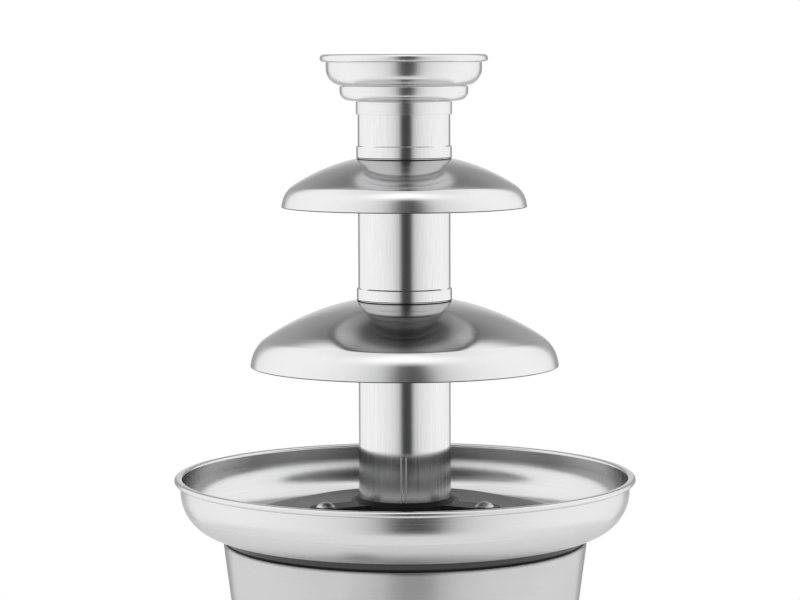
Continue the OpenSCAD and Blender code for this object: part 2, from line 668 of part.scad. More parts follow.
// Controls on the front of the base
front_az = -90;
rear_az = 90;
dial_az = front_az - control_step;
switch_az = front_az + control_step;
bushing_r = 5;
panel_gap = 0.3;
face = panel_gap + panel_t;
module control_panel() color("dimgray") difference() {
    z0 = control_z - panel_h / 2;
    z1 = control_z + panel_h / 2;
    rotate([0, 0, front_az - panel_half]) rotate_extrude(angle = 2 * panel_half) polygon([
        [shell_r(z0) + panel_gap, z0], [shell_r(z0) + face - 0.8, z0], [shell_r(z0 + 0.8) + face, z0 + 0.8],
        [shell_r(z1 - 0.8) + face, z1 - 0.8], [shell_r(z1) + face - 0.8, z1],
        [shell_r(z1) + panel_gap, z1]]);
    on_side(dial_az, control_z) disc(bushing_r + eps, -8, 8);
    on_side(switch_az, control_z) block(switch_h + 2 * eps, switch_w + 2 * eps, -8, 8);
    on_side(front_az, control_z) disc(lamp_r + eps, -8, 8);
}
spindle_r = 3;
thermostat_h = 30;
thermostat_w = 32;
thermostat_d = 22;
thermostat_back = 4;
module thermostat() color("tan") on_side(dial_az, control_z) difference() {
    union() {
        block(thermostat_h, thermostat_w, -thermostat_d, -thermostat_back);
        disc(bushing_r, -thermostat_back - eps, face + 3);
    }
    disc(spindle_r + run_gap, -16, face + 4);
}
module dial_nut() color("silver") on_side(dial_az, control_z) difference() {
    hex_bar(2.8 * bushing_r, face, face + 2.4);
    disc(bushing_r + eps, face - 1, face + 4);
}
knob_low = 4;
knob_top = face + knob_low + knob_h;
module dial_spindle() color("silver") on_side(dial_az, control_z) disc(spindle_r, -15, knob_top - 4);
pointer_w = 1.8;
grip_count = 18;
grip_r = knob_r - 2.4;
grip_z = face + knob_low + 3;
module heat_knob() color("dimgray") on_side(dial_az, control_z) difference() {
    union() {
        disc(knob_r, face + knob_low, grip_z);
        translate([0, 0, grip_z - 1]) linear_extrude(knob_top - grip_z + 1) difference() {
            circle(r = grip_r);
            for (i = [0:grip_count - 1]) rotate((i + 0.5) * 360 / grip_count) translate([grip_r + 0.5, 0])
                circle(r = 1.2, $fn = 24);
        }
    }
    disc(spindle_r + eps, face, knob_top - 4);
    disc(bushing_r + 2.8, face, face + knob_low + 0.8);
    translate([-grip_r + 2, -pointer_w / 2, knob_top - 0.8]) cube([grip_r - 4, pointer_w, 2]);
}
module knob_pointer() color("white") on_side(dial_az, control_z)
    translate([-grip_r + 2 + eps, -pointer_w / 2 + eps, knob_top - 0.8])
        cube([grip_r - 4 - 2 * eps, pointer_w - 2 * eps, 0.9]);

switch_h = 19;
switch_w = 13;
rocker_w = 9;
rocker_h = 14.6;
pivot = face - 1.5;
pivot_r = 1.3;
pivot_l = rocker_w + 2.6;
module pivot_pin(r, l) rotate([90, 0, 0]) translate([0, 0, -l / 2]) cylinder(r = r, h = l, $fn = 32);
module switch_housing() color("dimgray") on_side(switch_az, control_z) difference() {
    union() {
        block(switch_h, switch_w, -20, face + eps);
        block(switch_h + 5, switch_w + 4, face, face + 2.4);
    }
    block(rocker_h + 2.4, rocker_w + 0.8, -6, face + 4);
    translate([0, 0, pivot]) pivot_pin(pivot_r + run_gap, pivot_l + 0.4);
}
module rocker_button() color("firebrick") on_side(switch_az, control_z, pivot) {
    pivot_pin(pivot_r, pivot_l);
    rotate([0, rocker_tilt, 0]) rotate([90, 0, 0]) translate([0, 0, -rocker_w / 2])
        linear_extrude(rocker_w) polygon([
        [-rocker_h / 2, -2], [0, -5], [rocker_h / 2, -2], [rocker_h / 2, 4.2],
        [0, 4.2 - rocker_h / 2 * tan(rocker_tilt)], [-rocker_h / 2, 4.2]]);
}
module pilot_lamp() color("orangered") on_side(front_az, control_z) rotate_extrude() polygon(concat(
    [[0, -12], [lamp_r, -12], [lamp_r, face], [lamp_r + 1.6, face], [lamp_r + 1.6, face + 1.2],
     [lamp_r, face + 1.6]],
    arc([0, face + 1.6], lamp_r, 10, 90, 5)));

// Mains inlet at the back, and the terminals inside
inlet_h = 22;
inlet_w = 28;
inlet_flange = 4;
recess_h = 15.6;
recess_w = 23;
inlet_face = 2.5;
inlet_depth = 22;
recess_floor = inlet_face - 15;
module mains_inlet() color("dimgray") on_side(rear_az, inlet_z) difference() {
    union() {
        block(inlet_h, inlet_w, -inlet_depth, inlet_face - 2);
        block(inlet_h + inlet_flange, inlet_w + inlet_flange, inlet_face - 2 - eps, inlet_face);
    }
    block(recess_h, recess_w, recess_floor, inlet_face + 1);
}
module inlet_pins() color("silver") on_side(rear_az, inlet_z)
    for (p = [[-2, -7], [2, 0], [-2, 7]]) translate([p[0], p[1], 0])
        block(4, 2, recess_floor, recess_floor + 11);
module terminal_block() color("ivory") translate([34, 10, cover_z]) difference() {
    cube([24, 30, 12]);
    for (i = [0:2]) translate([6, 6 + 9 * i, 4]) cylinder(r = 2, h = 9);
}

base_shell();
bottom_cover();
cover_screws();
rubber_feet();
foot_screws();
tie_posts();
bowl();
bowl_gasket();
bowl_studs();
clamp_nuts();
heating_ring();
heater_clamp();
thermal_cutout();
tower_mount();
mount_screws();
mount_nuts();
bracket_spacers();
motor_bracket();
gearbox_case();
gearbox_cover();
gearbox_screws();
motor();
idler_pin();
seal_carrier();
hub_nut();
shaft_bush();
shaft_seal();
output_shaft();
output_gear();
drive_dog();
idler_gear();
motor_pinion();
auger_core();
auger_flight();
auger_tip();
lower_tube();
lower_dome();
middle_tube();
upper_dome();
top_tube();
crown_cup();
control_panel();
thermostat();
dial_nut();
dial_spindle();
heat_knob();
knob_pointer();
switch_housing();
rocker_button();
pilot_lamp();
mains_inlet();
inlet_pins();
terminal_block();
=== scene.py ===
import math

import bmesh
import bpy
from bpy.props import FloatProperty, FloatVectorProperty, PointerProperty
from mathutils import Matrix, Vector


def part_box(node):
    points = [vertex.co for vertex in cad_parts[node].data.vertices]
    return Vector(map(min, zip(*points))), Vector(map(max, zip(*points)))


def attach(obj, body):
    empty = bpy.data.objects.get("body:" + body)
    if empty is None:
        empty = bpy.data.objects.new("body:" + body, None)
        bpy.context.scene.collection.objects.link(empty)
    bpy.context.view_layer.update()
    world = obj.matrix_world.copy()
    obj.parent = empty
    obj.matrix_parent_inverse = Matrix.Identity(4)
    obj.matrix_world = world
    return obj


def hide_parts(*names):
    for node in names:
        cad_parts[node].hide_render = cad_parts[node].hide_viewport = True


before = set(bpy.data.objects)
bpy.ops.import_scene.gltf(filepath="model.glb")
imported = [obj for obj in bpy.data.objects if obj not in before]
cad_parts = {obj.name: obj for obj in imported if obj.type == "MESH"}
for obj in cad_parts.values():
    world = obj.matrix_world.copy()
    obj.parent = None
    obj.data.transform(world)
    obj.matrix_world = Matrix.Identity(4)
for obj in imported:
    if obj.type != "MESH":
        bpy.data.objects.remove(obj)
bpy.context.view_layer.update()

bl_info = {
    "name": "Chocolate Fountain",
    "version": (1, 0, 0),
    "blender": (4, 5, 0),
    "location": "View3D > Sidebar > Fountain",
    "description": "Dresses the packed chocolate fountain in turned shells and metal finishes",
    "category": "Object",
}


# Sizes and colours that a user would change
def length(name, words, value):
    """A size in metres."""
    return FloatProperty(name=name, description=words, default=value, unit="LENGTH", precision=5)


def angle(name, words, degrees):
    """An angle, stored in radians."""
    return FloatProperty(name=name, description=words, default=math.radians(degrees), subtype="ANGLE")


def share(name, words, value):
    """A plain number from 0 to 1."""
    return FloatProperty(name=name, description=words, default=value, min=0, max=1, subtype="FACTOR")


def colour(name, words, value):
    """A linear colour."""
    return FloatVectorProperty(name=name, description=words, default=value, size=3, min=0, max=1, subtype="COLOR")


class TowerSizes(bpy.types.PropertyGroup):
    """Sizes of the tower: tubes, domes and crown"""
    tube_r: length("Tube radius", "Outer radius of the tubes", 0.027)
    tube_wall: length("Tube wall", "Wall of the tubes", 0.001)
    collar_r: length("Collar radius", "Outer radius of a tube's belled foot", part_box("middle_tube")[1].x)
    collar_in_r: length("Collar bore", "Bore radius of a tube's belled foot", 0.02708)
    collar_h: length("Collar height", "Height of the belled foot", 0.0064)
    arch_r: length("Arch radius", "Radius of the inlet arches in the lowest tube", 0.0065)
    skirt_l: length("Skirt length", "Straight skirt at a dome's rim", 0.0025)
    skirt_slope: angle("Skirt slope", "Slope of the skirt at a dome's rim", 79)
    sheet: length("Dome sheet", "Sheet thickness of the domes", 0.001)
    neck_h: length("Neck height", "Height of the neck under a dome", 0.007)
    lower_arc_r: length("Lower arc", "Long arc of the lower dome", 0.1369)
    lower_slope: angle("Lower slope", "Slope of the lower dome at the tube", 9.9)
    lower_shoulder_r: length("Lower shoulder", "Shoulder radius of the lower dome", 0.0212)
    upper_arc_r: length("Upper arc", "Long arc of the upper dome", 0.1076)
    upper_slope: angle("Upper slope", "Slope of the upper dome at the tube", 11.6)
    upper_shoulder_r: length("Upper shoulder", "Shoulder radius of the upper dome", 0.0153)
    crown_r: length("Crown radius", "Radius of the crown's wide cup", 0.0454)
    crown_step_r: length("Crown step radius", "Radius of the crown's small cup", 0.0374)
    crown_step_h: length("Crown step height", "Height of the small cup", 0.0082)
    crown_cup_h: length("Crown cup height", "Height of the wide cup", 0.0166)
    crown_step_corner: length("Crown step corner", "Corner radius of the small cup", 0.006)
    crown_corner: length("Crown corner", "Corner radius of the wide cup", 0.011)
    crown_roll: length("Crown roll", "Radius of the crown's rolled rim", 0.00235)
    crown_sheet: length("Crown sheet", "Sheet thickness of the crown", 0.0009)
    sleeve_l: length("Sleeve length", "Sleeve of the crown over the top tube", 0.007)


class BowlSizes(bpy.types.PropertyGroup):
    """Sizes of the bowl and its rubber ring"""
    bowl_r: length("Bowl radius", "Outer radius of the upright wall", 0.1316)
    roll: length("Rim roll", "Radius of the rolled rim", 0.00175)
    corner: length("Corner", "Outer radius of the bottom corner", 0.025)
    sheet: length("Bowl sheet", "Sheet thickness of the bowl", 0.0012)
    trough_r: length("Trough radius", "Inner radius of the flat trough", 0.1)
    pad_rise: length("Pad rise", "Height of the pad over the trough", 0.0148)
    pad_r: length("Pad radius", "Radius of the mounting pad", 0.064)
    hub_slope: angle("Floor slope", "Slope of the raised floor", 13.3)
    step_slope: angle("Step slope", "Slope of the step out of the trough", 60)
    step_fillet: length("Step fillet", "Fillet radius of that step", 0.004)
    ring_lean: length("Ring lean", "Lean of the rubber ring's face", 0.0016)
    ring_swell: length("Ring swell", "Bulge of the ring past its solid", 0.0008)
    ring_gap: length("Ring gap", "Gap between the ring's bore and the trough", 0.0004)
    ring_soft: length("Ring edge", "Radius of the ring's upper edge", 0.0007)
    hub_hole_r: length("Hub hole", "Radius of the hole for the shaft's carrier", 0.01102)


class Finishes(bpy.types.PropertyGroup):
    """Colours and gloss of the finishes"""
    steel: colour("Steel", "Colour of the polished steel", (0.62, 0.62, 0.624))
    satin: colour("Satin steel", "Colour of the brushed steel", (0.585, 0.585, 0.589))
    base: colour("Base steel", "Colour of the brushed housing", (0.555, 0.555, 0.56))
    # the floor's pad is given this much darker steel colour than the rest of the bowl
    dull: colour("Dark floor steel", "Colour of the darker floor of the bowl", (0.14, 0.14, 0.142))
    # painted shade: this dark colour is the line of shade at the domes' hems and the tubes' feet
    edge: colour("Painted edge shade", "Colour of the painted shade on thin edges", (0.1, 0.1, 0.1))
    plastic: colour("Plastic", "Colour of the black plastic", (0.018, 0.018, 0.019))
    rubber: colour("Rubber", "Colour of the black rubber", (0.014, 0.014, 0.014))
    ring: colour("Ring rubber", "Colour of the ring under the bowl", (0.028, 0.028, 0.028))
    panel: colour("Panel plastic", "Colour of the control panel", (0.011, 0.011, 0.0115))
    knob: colour("Knob plastic", "Colour of knob and rocker", (0.024, 0.024, 0.025))
    ink: colour("Ink", "Colour of the printed marks and the pointer", (0.82, 0.82, 0.8))
    lamp: colour("Lamp lens", "Colour of the pilot lamp", (0.8, 0.2, 0.03))
    tube_gloss: share("Tube roughness", "Roughness of the tubes", 0.07)
    foot_gloss: share("Tube foot roughness", "Roughness of the scoured foot of the tower", 0.22)
    dome_gloss: share("Dome roughness", "Roughness of the domes", 0.15)
    bowl_gloss: share("Bowl roughness", "Roughness of the bowl", 0.23)
    spun_gloss: share("Bowl inside", "Roughness of the bowl's inside", 0.2)
    under_gloss: share("Underside roughness", "Roughness of the bowl's underside", 0.4)
    base_gloss: share("Base roughness", "Roughness of the base", 0.37)


class StageSettings(bpy.types.PropertyGroup):
    """Camera, floor and light of the studio"""
    lens: FloatProperty(name="Lens", description="Focal length", default=123.1, unit="CAMERA")
    camera_place: FloatVectorProperty(name="Camera", description="Place of the camera",
                                      default=(-0.0022, -1.592, 0.4039), size=3, subtype="TRANSLATION")
    camera_tilt: angle("Camera tilt", "Downward tilt of the camera", 5.07)
    camera_roll: angle("Camera roll", "Sideways lean of the camera", 0.17)
    floor: colour("Floor", "Colour of the floor", (0.9, 0.9, 0.9))
    fill: share("Fill", "Even light of the room", 0.55)
    banks: FloatProperty(name="Banks", description="Strength of the light banks in polished metal", default=1.4)
    gap_turn: angle("Gap turn", "Turn of the dark gap between the front light banks", 5)


# Turned shells
SPOKES = 192
LONG_RUN = 0.004  # a straight run longer than this gets points near its ends
EDGE_RUN = 0.0003  # distance of those points from the ends
SHARP = 32  # edges that turn by more degrees are shaded sharp
TINY = 0.0001  # a step that only keeps an edge crisp


def arc(centre, radius, start, end, steps):
    """Points (r, z) along an arc, angles in radians."""
    turn = [start + (end - start) * i / steps for i in range(steps + 1)]
    return [(centre[0] + radius * math.cos(t), centre[1] + radius * math.sin(t)) for t in turn]


def degrees_arc(centre, radius, start, end, steps):
    """The same with angles in degrees."""
    return arc(centre, radius, math.radians(start), math.radians(end), steps)


def finish_mesh(name, bm, sharp=SHARP):
    """Object of a mesh, shaded smooth apart from its sharp edges."""
    bmesh.ops.remove_doubles(bm, verts=bm.verts, dist=1e-7)
    bmesh.ops.recalc_face_normals(bm, faces=bm.faces)
    mesh = bpy.data.meshes.new(name)
    bm.to_mesh(mesh)
    bm.free()
    for face in mesh.polygons:
        face.use_smooth = True
    mesh.set_sharp_from_angle(angle=math.radians(sharp))
    piece = bpy.data.objects.new(name, mesh)
    bpy.context.scene.collection.objects.link(piece)
    return piece


def supported(profile, finishes):
    """Points of a closed profile, each with its finish, and two more near the ends of every long straight run.

    The added points keep the shading of a long wall even up to its edges.
    """
    points = []
    for i, (near, far) in enumerate(zip(profile, profile[1:] + profile[:1])):
        finish = finishes.get(i, 0)
        points.append((near, finish))
        run = math.dist(near, far)
        if run > LONG_RUN:
            for along in (EDGE_RUN / run, 1 - EDGE_RUN / run):
                points.append(([a + (b - a) * along for a, b in zip(near, far)], finish))
    return points


def turned(name, *profiles, finishes=None):
    """Turns closed profiles of (r, z) points about the tower axis.

    finishes gives runs, by their number, another finish than the first.
    """
    bm = bmesh.new()
    turns = [2 * math.pi * k / SPOKES for k in range(SPOKES)]
    for profile in profiles:
        points = supported(profile, finishes or {})
        rings = [[bm.verts.new((r * math.cos(t), r * math.sin(t), z)) for t in turns] for (r, z), _ in points]
        for near, far, (_, finish) in zip(rings, rings[1:] + rings[:1], points):
            for k in range(SPOKES):
                after = (k + 1) % SPOKES
                bm.faces.new((near[k], near[after], far[after], far[k])).material_index = finish
    return finish_mesh(name, bm)


def settle(piece, node, body, slot, *materials):
    """Puts a piece in a node's place, on its body, with its finishes."""
    for material in materials:
        piece.data.materials.append(material)
    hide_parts(node)
    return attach(piece, body)


def paint(material, *nodes):
    """Gives a finish to nodes that keep their own shape."""
    for name in nodes:
        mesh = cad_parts[name].data
        mesh.materials.clear()
        mesh.materials.append(material)


# Finishes
def new_material(name):
    """Empty node material with its shader and the object's own coordinates."""
    material = bpy.data.materials.new(name)
    material.use_nodes = True
    tree = material.node_tree
    shader = tree.nodes["Principled BSDF"]
    place = tree.nodes.new("ShaderNodeTexCoord").outputs["Object"]
    return material, tree, shader, place


def feed(tree, node, *values):
    """Gives a node's inputs sockets or numbers in order; None leaves one as it is."""
    for socket, value in zip(node.inputs, values):
        if isinstance(value, bpy.types.NodeSocket):
            tree.links.new(value, socket)
        elif value is not None:
            socket.default_value = value
    return node.outputs[0]


def math_node(tree, operation, a, b=None, c=None):
    """One sum on sockets or numbers."""
    node = tree.nodes.new("ShaderNodeMath")
    node.operation = operation
    return feed(tree, node, a, b, c)


def times(tree, a, b):
    """Product of two sockets or numbers."""
    return math_node(tree, "MULTIPLY", a, b)


def diagonal(tree, a, b):
    """Length of the diagonal of two sides."""
    return math_node(tree, "SQRT", math_node(tree, "ADD", times(tree, a, a), times(tree, b, b)))


def between(tree, value, low, high):
    """1 between two limits, else 0."""
    return times(tree, math_node(tree, "GREATER_THAN", value, low), math_node(tree, "LESS_THAN", value, high))


def axes(tree, vector):
    """The x, y and z of a vector."""
    node = tree.nodes.new("ShaderNodeSeparateXYZ")
    tree.links.new(vector, node.inputs[0])
    return node.outputs


def noise(tree, vector, scale, detail=4.0, rough=0.55):
    """Noise from 0 to 1 along a vector."""
    node = tree.nodes.new("ShaderNodeTexNoise")
    node.inputs["Scale"].default_value = scale
    node.inputs["Detail"].default_value = detail
    node.inputs["Roughness"].default_value = rough
    tree.links.new(vector, node.inputs["Vector"])
    return node.outputs["Fac"]


def spread(tree, value, low, high, source=(0.3, 0.7)):
    """Maps a noise to a range."""
    node = tree.nodes.new("ShaderNodeMapRange")
    node.inputs["From Min"].default_value = source[0]
    node.inputs["From Max"].default_value = source[1]
    node.inputs["To Min"].default_value = low
    node.inputs["To Max"].default_value = high
    tree.links.new(value, node.inputs["Value"])
    return node.outputs["Result"]


def mix_grey(tree, factor, a, b):
    """Mixes two greys, as sockets or numbers."""
    node = tree.nodes.new("ShaderNodeMix")
    node.data_type = "FLOAT"
    return feed(tree, node, factor, None, a, b)


def smooth(tree, value, start, end):
    """Smooth step from 0 to 1."""
    node = tree.nodes.new("ShaderNodeMapRange")
    node.interpolation_type = "SMOOTHSTEP"
    node.inputs["From Min"].default_value = start
    node.inputs["From Max"].default_value = end
    tree.links.new(value, node.inputs["Value"])
    return node.outputs["Result"]


def combine(tree, x, y, z):
    """Vector of three sockets or numbers."""
    return feed(tree, tree.nodes.new("ShaderNodeCombineXYZ"), x, y, z)


def upright_lines(tree, place, fine, long):
    """Coordinates whose noise runs in lines up the shell: fine across, long along."""
    x, y, z = axes(tree, place)
    around = tree.nodes.new("ShaderNodeVectorMath")
    around.operation = "NORMALIZE"
    turn = axes(tree, feed(tree, around, combine(tree, x, y, 0.0)))
    return combine(tree, times(tree, turn[0], fine), times(tree, turn[1], fine), times(tree, z, long))


def round_lines(tree, place, fine, long):
    """Coordinates whose noise runs in lines round the shell."""
    x, y, z = axes(tree, place)
    across = math_node(tree, "ADD", times(tree, diagonal(tree, x, y), fine), times(tree, x, long))
    return combine(tree, across, times(tree, z, fine), times(tree, y, long))


def bump(tree, shader, height, strength, distance):
    """Small relief on a shader's normal."""
    node = tree.nodes.new("ShaderNodeBump")
    node.inputs["Strength"].default_value = strength
    node.inputs["Distance"].default_value = distance
    tree.links.new(height, node.inputs["Height"])
    tree.links.new(node.outputs["Normal"], shader.inputs["Normal"])


def tinted(tree, shader, tone, value, low, high, shade=1.0):
    """Base colour that a noise makes a little darker or lighter, and that painted shade makes darker still."""
    node = tree.nodes.new("ShaderNodeVectorMath")
    node.operation = "SCALE"
    node.inputs[0].default_value = tone
    tree.links.new(times(tree, spread(tree, value, low, high), shade), node.inputs["Scale"])
    tree.links.new(node.outputs[0], shader.inputs["Base Color"])


def fade_up(tree, place, start, end, left):
    """Falls from 1 to the share that is left between two heights."""
    return mix_grey(tree, smooth(tree, axes(tree, place)[2], start, end), 1.0, left)


def seam_lines(tree, place, places, width, top):
    """1 on narrow upright lines down the front of a tube, below a height."""
    x, y, z = axes(tree, place)
    lines = 0.0
    for middle in places:
        lines = math_node(tree, "MAXIMUM", lines, between(tree, x, middle - width / 2, middle + width / 2))
    front = times(tree, math_node(tree, "LESS_THAN", y, 0.0), math_node(tree, "LESS_THAN", z, top))
    return times(tree, lines, front)


STEEL_RIM = (0.8, 0.8, 0.8, 1)  # what brushed steel keeps of its shine where it turns away
ROUND_ANISOTROPY = 0.25  # turn of the stretched highlight for lines round the shell
STREAK_SHARE = 0.75  # share of the brush lines in the roughness; smudges have the rest
BRUSH_BUMP = 0.25
SEAM_GLOSS = 0.55  # roughness of weld lines


def brushed(name, tone, gloss, lines, fine, long, grain=0.35, anisotropy=0.5, relief=0.00001, tint=0.02,
            painted_shade=None, worn=None, seam=None):
    """Steel with brush lines up or round the shell.

    The painted-shade argument gives two heights and the share of the colour left above them, worn two heights and the
    share of the roughness left above them, and seam the sideways places of upright weld lines, their width and top.
    """
    material, tree, shader, place = new_material(name)
    shader.inputs["Metallic"].default_value = 1.0
    shader.inputs["Anisotropic"].default_value = anisotropy
    shader.inputs["Specular Tint"].default_value = STEEL_RIM
    tangent = tree.nodes.new("ShaderNodeTangent")
    tangent.direction_type = "RADIAL"
    tangent.axis = "Z"
    tree.links.new(tangent.outputs[0], shader.inputs["Tangent"])
    if lines == "round":
        shader.inputs["Anisotropic Rotation"].default_value = ROUND_ANISOTROPY
    vector = (upright_lines if lines == "upright" else round_lines)(tree, place, fine, long)
    streak = noise(tree, vector, 1.0, 5.0, 0.65)
    smudge = noise(tree, place, 18.0, 2.0)
    both = math_node(tree, "ADD", times(tree, streak, STREAK_SHARE), times(tree, smudge, 1 - STREAK_SHARE))
    rough = times(tree, spread(tree, both, gloss * (1 - grain), gloss * (1 + grain)),
                  fade_up(tree, place, *worn) if worn else 1.0)
    if seam:
        rough = mix_grey(tree, seam_lines(tree, place, *seam), rough, SEAM_GLOSS)
    tree.links.new(rough, shader.inputs["Roughness"])
    tinted(tree, shader, tone, streak, 1 - tint, 1 + tint, fade_up(tree, place, *painted_shade) if painted_shade else 1.0)
    bump(tree, shader, streak, BRUSH_BUMP, relief)
    return material


EDGE_GLOSS, EDGE_MOTTLE = 0.4, 400.0  # thin edges of sheet and tube, painted dark as a line of shade


def plain_metal(name, tone, gloss, scale=120.0):
    """Plain metal with a fine mottle."""
    material, tree, shader, place = new_material(name)
    shader.inputs["Metallic"].default_value = 1.0
    mottle = noise(tree, place, scale, 6.0, 0.6)
    tree.links.new(spread(tree, mottle, gloss * 0.7, gloss * 1.3), shader.inputs["Roughness"])
    tinted(tree, shader, tone, mottle, 0.88, 1.05)
    bump(tree, shader, mottle, 0.2, 0.00005)
    return material


PLASTIC_SKIN, RUBBER_SKIN = 1400.0, 900.0  # fineness of moulded skins


def moulded(name, tone, gloss, scale=PLASTIC_SKIN, relief=0.00004, strength=0.35, shine=0.5):
    """Moulded plastic or rubber with a fine skin."""
    material, tree, shader, place = new_material(name)
    shader.inputs["Specular IOR Level"].default_value = shine
    skin = noise(tree, place, scale, 3.0, 0.5)
    cloud = noise(tree, place, 25.0, 3.0)
    tree.links.new(spread(tree, cloud, gloss * 0.8, gloss * 1.2), shader.inputs["Roughness"])
    tinted(tree, shader, tone, cloud, 0.85, 1.15)
    bump(tree, shader, skin, strength, relief)
    return material


def unrolled(tree, place, node):
    """Distances to the right of and above the middle of a node, along the round face of the base."""
    low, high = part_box(node)
    middle = (low + high) / 2
    x, y, z = axes(tree, place)
    turn = math_node(tree, "ARCTAN2", x, times(tree, y, -1.0))
    right = math_node(tree, "SUBTRACT", turn, math.atan2(middle.x, -middle.y))
    return times(tree, right, math.hypot(middle.x, middle.y)), math_node(tree, "SUBTRACT", z, middle.z)


def ring_mark(tree, right, up, radius, line):
    """Printed ring."""
    return between(tree, diagonal(tree, right, up), radius - line / 2, radius + line / 2)


def bar_mark(tree, right, up, half, line):
    """Printed upright bar."""
    return times(tree, between(tree, right, -line / 2, line / 2), between(tree, up, -half, half))


# Printed marks, in metres and degrees
DIAL_IN_R = 0.0172  # where the dial's strokes begin
DIAL_LINE = 0.0007
DIAL_STROKES = 12  # in a full turn
DIAL_FIRST, DIAL_LAST = 45, 285
STROKE_L = 0.0006  # stroke at the off mark
STROKE_GROWTH = 0.0024  # added over a full turn
OFF_UP = 0.0014  # middle of the off ring over the start of the strokes
OFF_R = 0.0011
OFF_LINE = DIAL_LINE * 0.8
ROCKER_LINE = 0.0006
ROCKER_UP = 0.0038  # marks from the middle of the rocker
ROCKER_HALF = 0.0013  # half the bar
ROCKER_R = 0.0012


def dial_scale(tree, place):
    """Printed ring over the dial and strokes that grow clockwise round it."""
    right, up = unrolled(tree, place, "dial_nut")
    radius = diagonal(tree, right, up)
    turn = math_node(tree, "FRACT", math_node(tree, "DIVIDE", math_node(tree, "ARCTAN2", right, up), math.tau))
    cell = math_node(tree, "FRACT", math_node(tree, "MULTIPLY_ADD", turn, DIAL_STROKES, 0.5))
    turned_by = times(tree, math_node(tree, "SUBTRACT", cell, 0.5), math.tau / DIAL_STROKES)
    outer = math_node(tree, "MULTIPLY_ADD", turn, STROKE_GROWTH, DIAL_IN_R + STROKE_L)
    stroke = times(tree, between(tree, times(tree, turned_by, radius), -DIAL_LINE / 2, DIAL_LINE / 2),
                   between(tree, radius, DIAL_IN_R, outer))
    strokes = times(tree, stroke, between(tree, turn, DIAL_FIRST / 360, DIAL_LAST / 360))
    off = ring_mark(tree, right, math_node(tree, "SUBTRACT", up, DIAL_IN_R + OFF_UP), OFF_R, OFF_LINE)
    return math_node(tree, "MAXIMUM", strokes, off)


def switch_marks(tree, place):
    """Printed bar and ring on the two ends of the rocker."""
    right, up = unrolled(tree, place, "rocker_button")
    bar = bar_mark(tree, right, math_node(tree, "SUBTRACT", up, ROCKER_UP), ROCKER_HALF, ROCKER_LINE)
    ring = ring_mark(tree, right, math_node(tree, "ADD", up, ROCKER_UP), ROCKER_R, ROCKER_LINE)
    return math_node(tree, "MAXIMUM", bar, ring)


def printed(material, ink, marks):
    """Prints marks over a finish."""
    tree = material.node_tree
    place = tree.nodes.new("ShaderNodeTexCoord").outputs["Object"]
    paint_in = tree.nodes["Principled BSDF"].inputs["Base Color"]
    node = tree.nodes.new("ShaderNodeMix")
    node.data_type = "RGBA"
    tree.links.new(marks(tree, place), node.inputs[0])
    tree.links.new(paint_in.links[0].from_socket, node.inputs[6])
    node.inputs[7].default_value = (*ink, 1)
    tree.links.new(node.outputs[2], paint_in)
    return material


# Pieces
class Piece:
    """What the operators share: undo and the settings."""
    bl_options = {"REGISTER", "UNDO"}

    def settings(self, context):
        scene = context.scene
        return scene.fountain_tower, scene.fountain_bowl, scene.fountain_finish, scene.fountain_stage


TUBE_FIT = 0.00005  # gap between a tube and what is welded round it
DOME_STEPS = 40  # along the long arc
SHOULDER_STEPS = 28
HEM_STEPS = 8
BRIGHT_LIP = 8  # steps inside the hem that stay bright


def dome_profile(tower, z0, rim, arc_r, slope, shoulder):
    """Closed profile of a dome (long arc, shoulder, skirt, hem and neck) and the finishes of its runs."""
    r0 = tower.tube_r + TUBE_FIT
    skirt = tower.skirt_slope
    run = (tower.skirt_l * math.cos(skirt), -tower.skirt_l * math.sin(skirt))
    join = math.asin((rim - r0 - run[0] + arc_r * math.sin(slope) - shoulder * math.sin(skirt)) / (arc_r - shoulder))
    c1 = (r0 - arc_r * math.sin(slope), z0 - arc_r * math.cos(slope))
    c2 = (c1[0] + (arc_r - shoulder) * math.sin(join), c1[1] + (arc_r - shoulder) * math.cos(join))
    up = math.pi / 2
    sheet = tower.sheet
    neck = math.asin((r0 + sheet - c1[0]) / (arc_r - sheet))
    outer = (arc(c1, arc_r, up - slope, up - join, DOME_STEPS)
             + arc(c2, shoulder, up - join, up - skirt, SHOULDER_STEPS)[1:])
    inner = (arc(c1, arc_r - sheet, up - neck, up - join, DOME_STEPS)
             + arc(c2, shoulder - sheet, up - join, up - skirt, SHOULDER_STEPS)[1:])
    mid = ((outer[-1][0] + inner[-1][0]) / 2 + run[0], (outer[-1][1] + inner[-1][1]) / 2 + run[1])
    hem = arc(mid, sheet / 2, up - skirt, up - skirt - math.pi, HEM_STEPS)
    profile = outer + hem + inner[::-1] + [(r0 + sheet, z0 - tower.neck_h), (r0, z0 - tower.neck_h)]
    hem_end = len(outer) + len(hem)
    unpolished_and_shaded = dict.fromkeys(range(hem_end + BRIGHT_LIP, len(profile)), 1)
    # the hem takes the dark edge colour, a painted line of shade
    return profile, unpolished_and_shaded | dict.fromkeys(range(len(outer), hem_end - 1), 2)


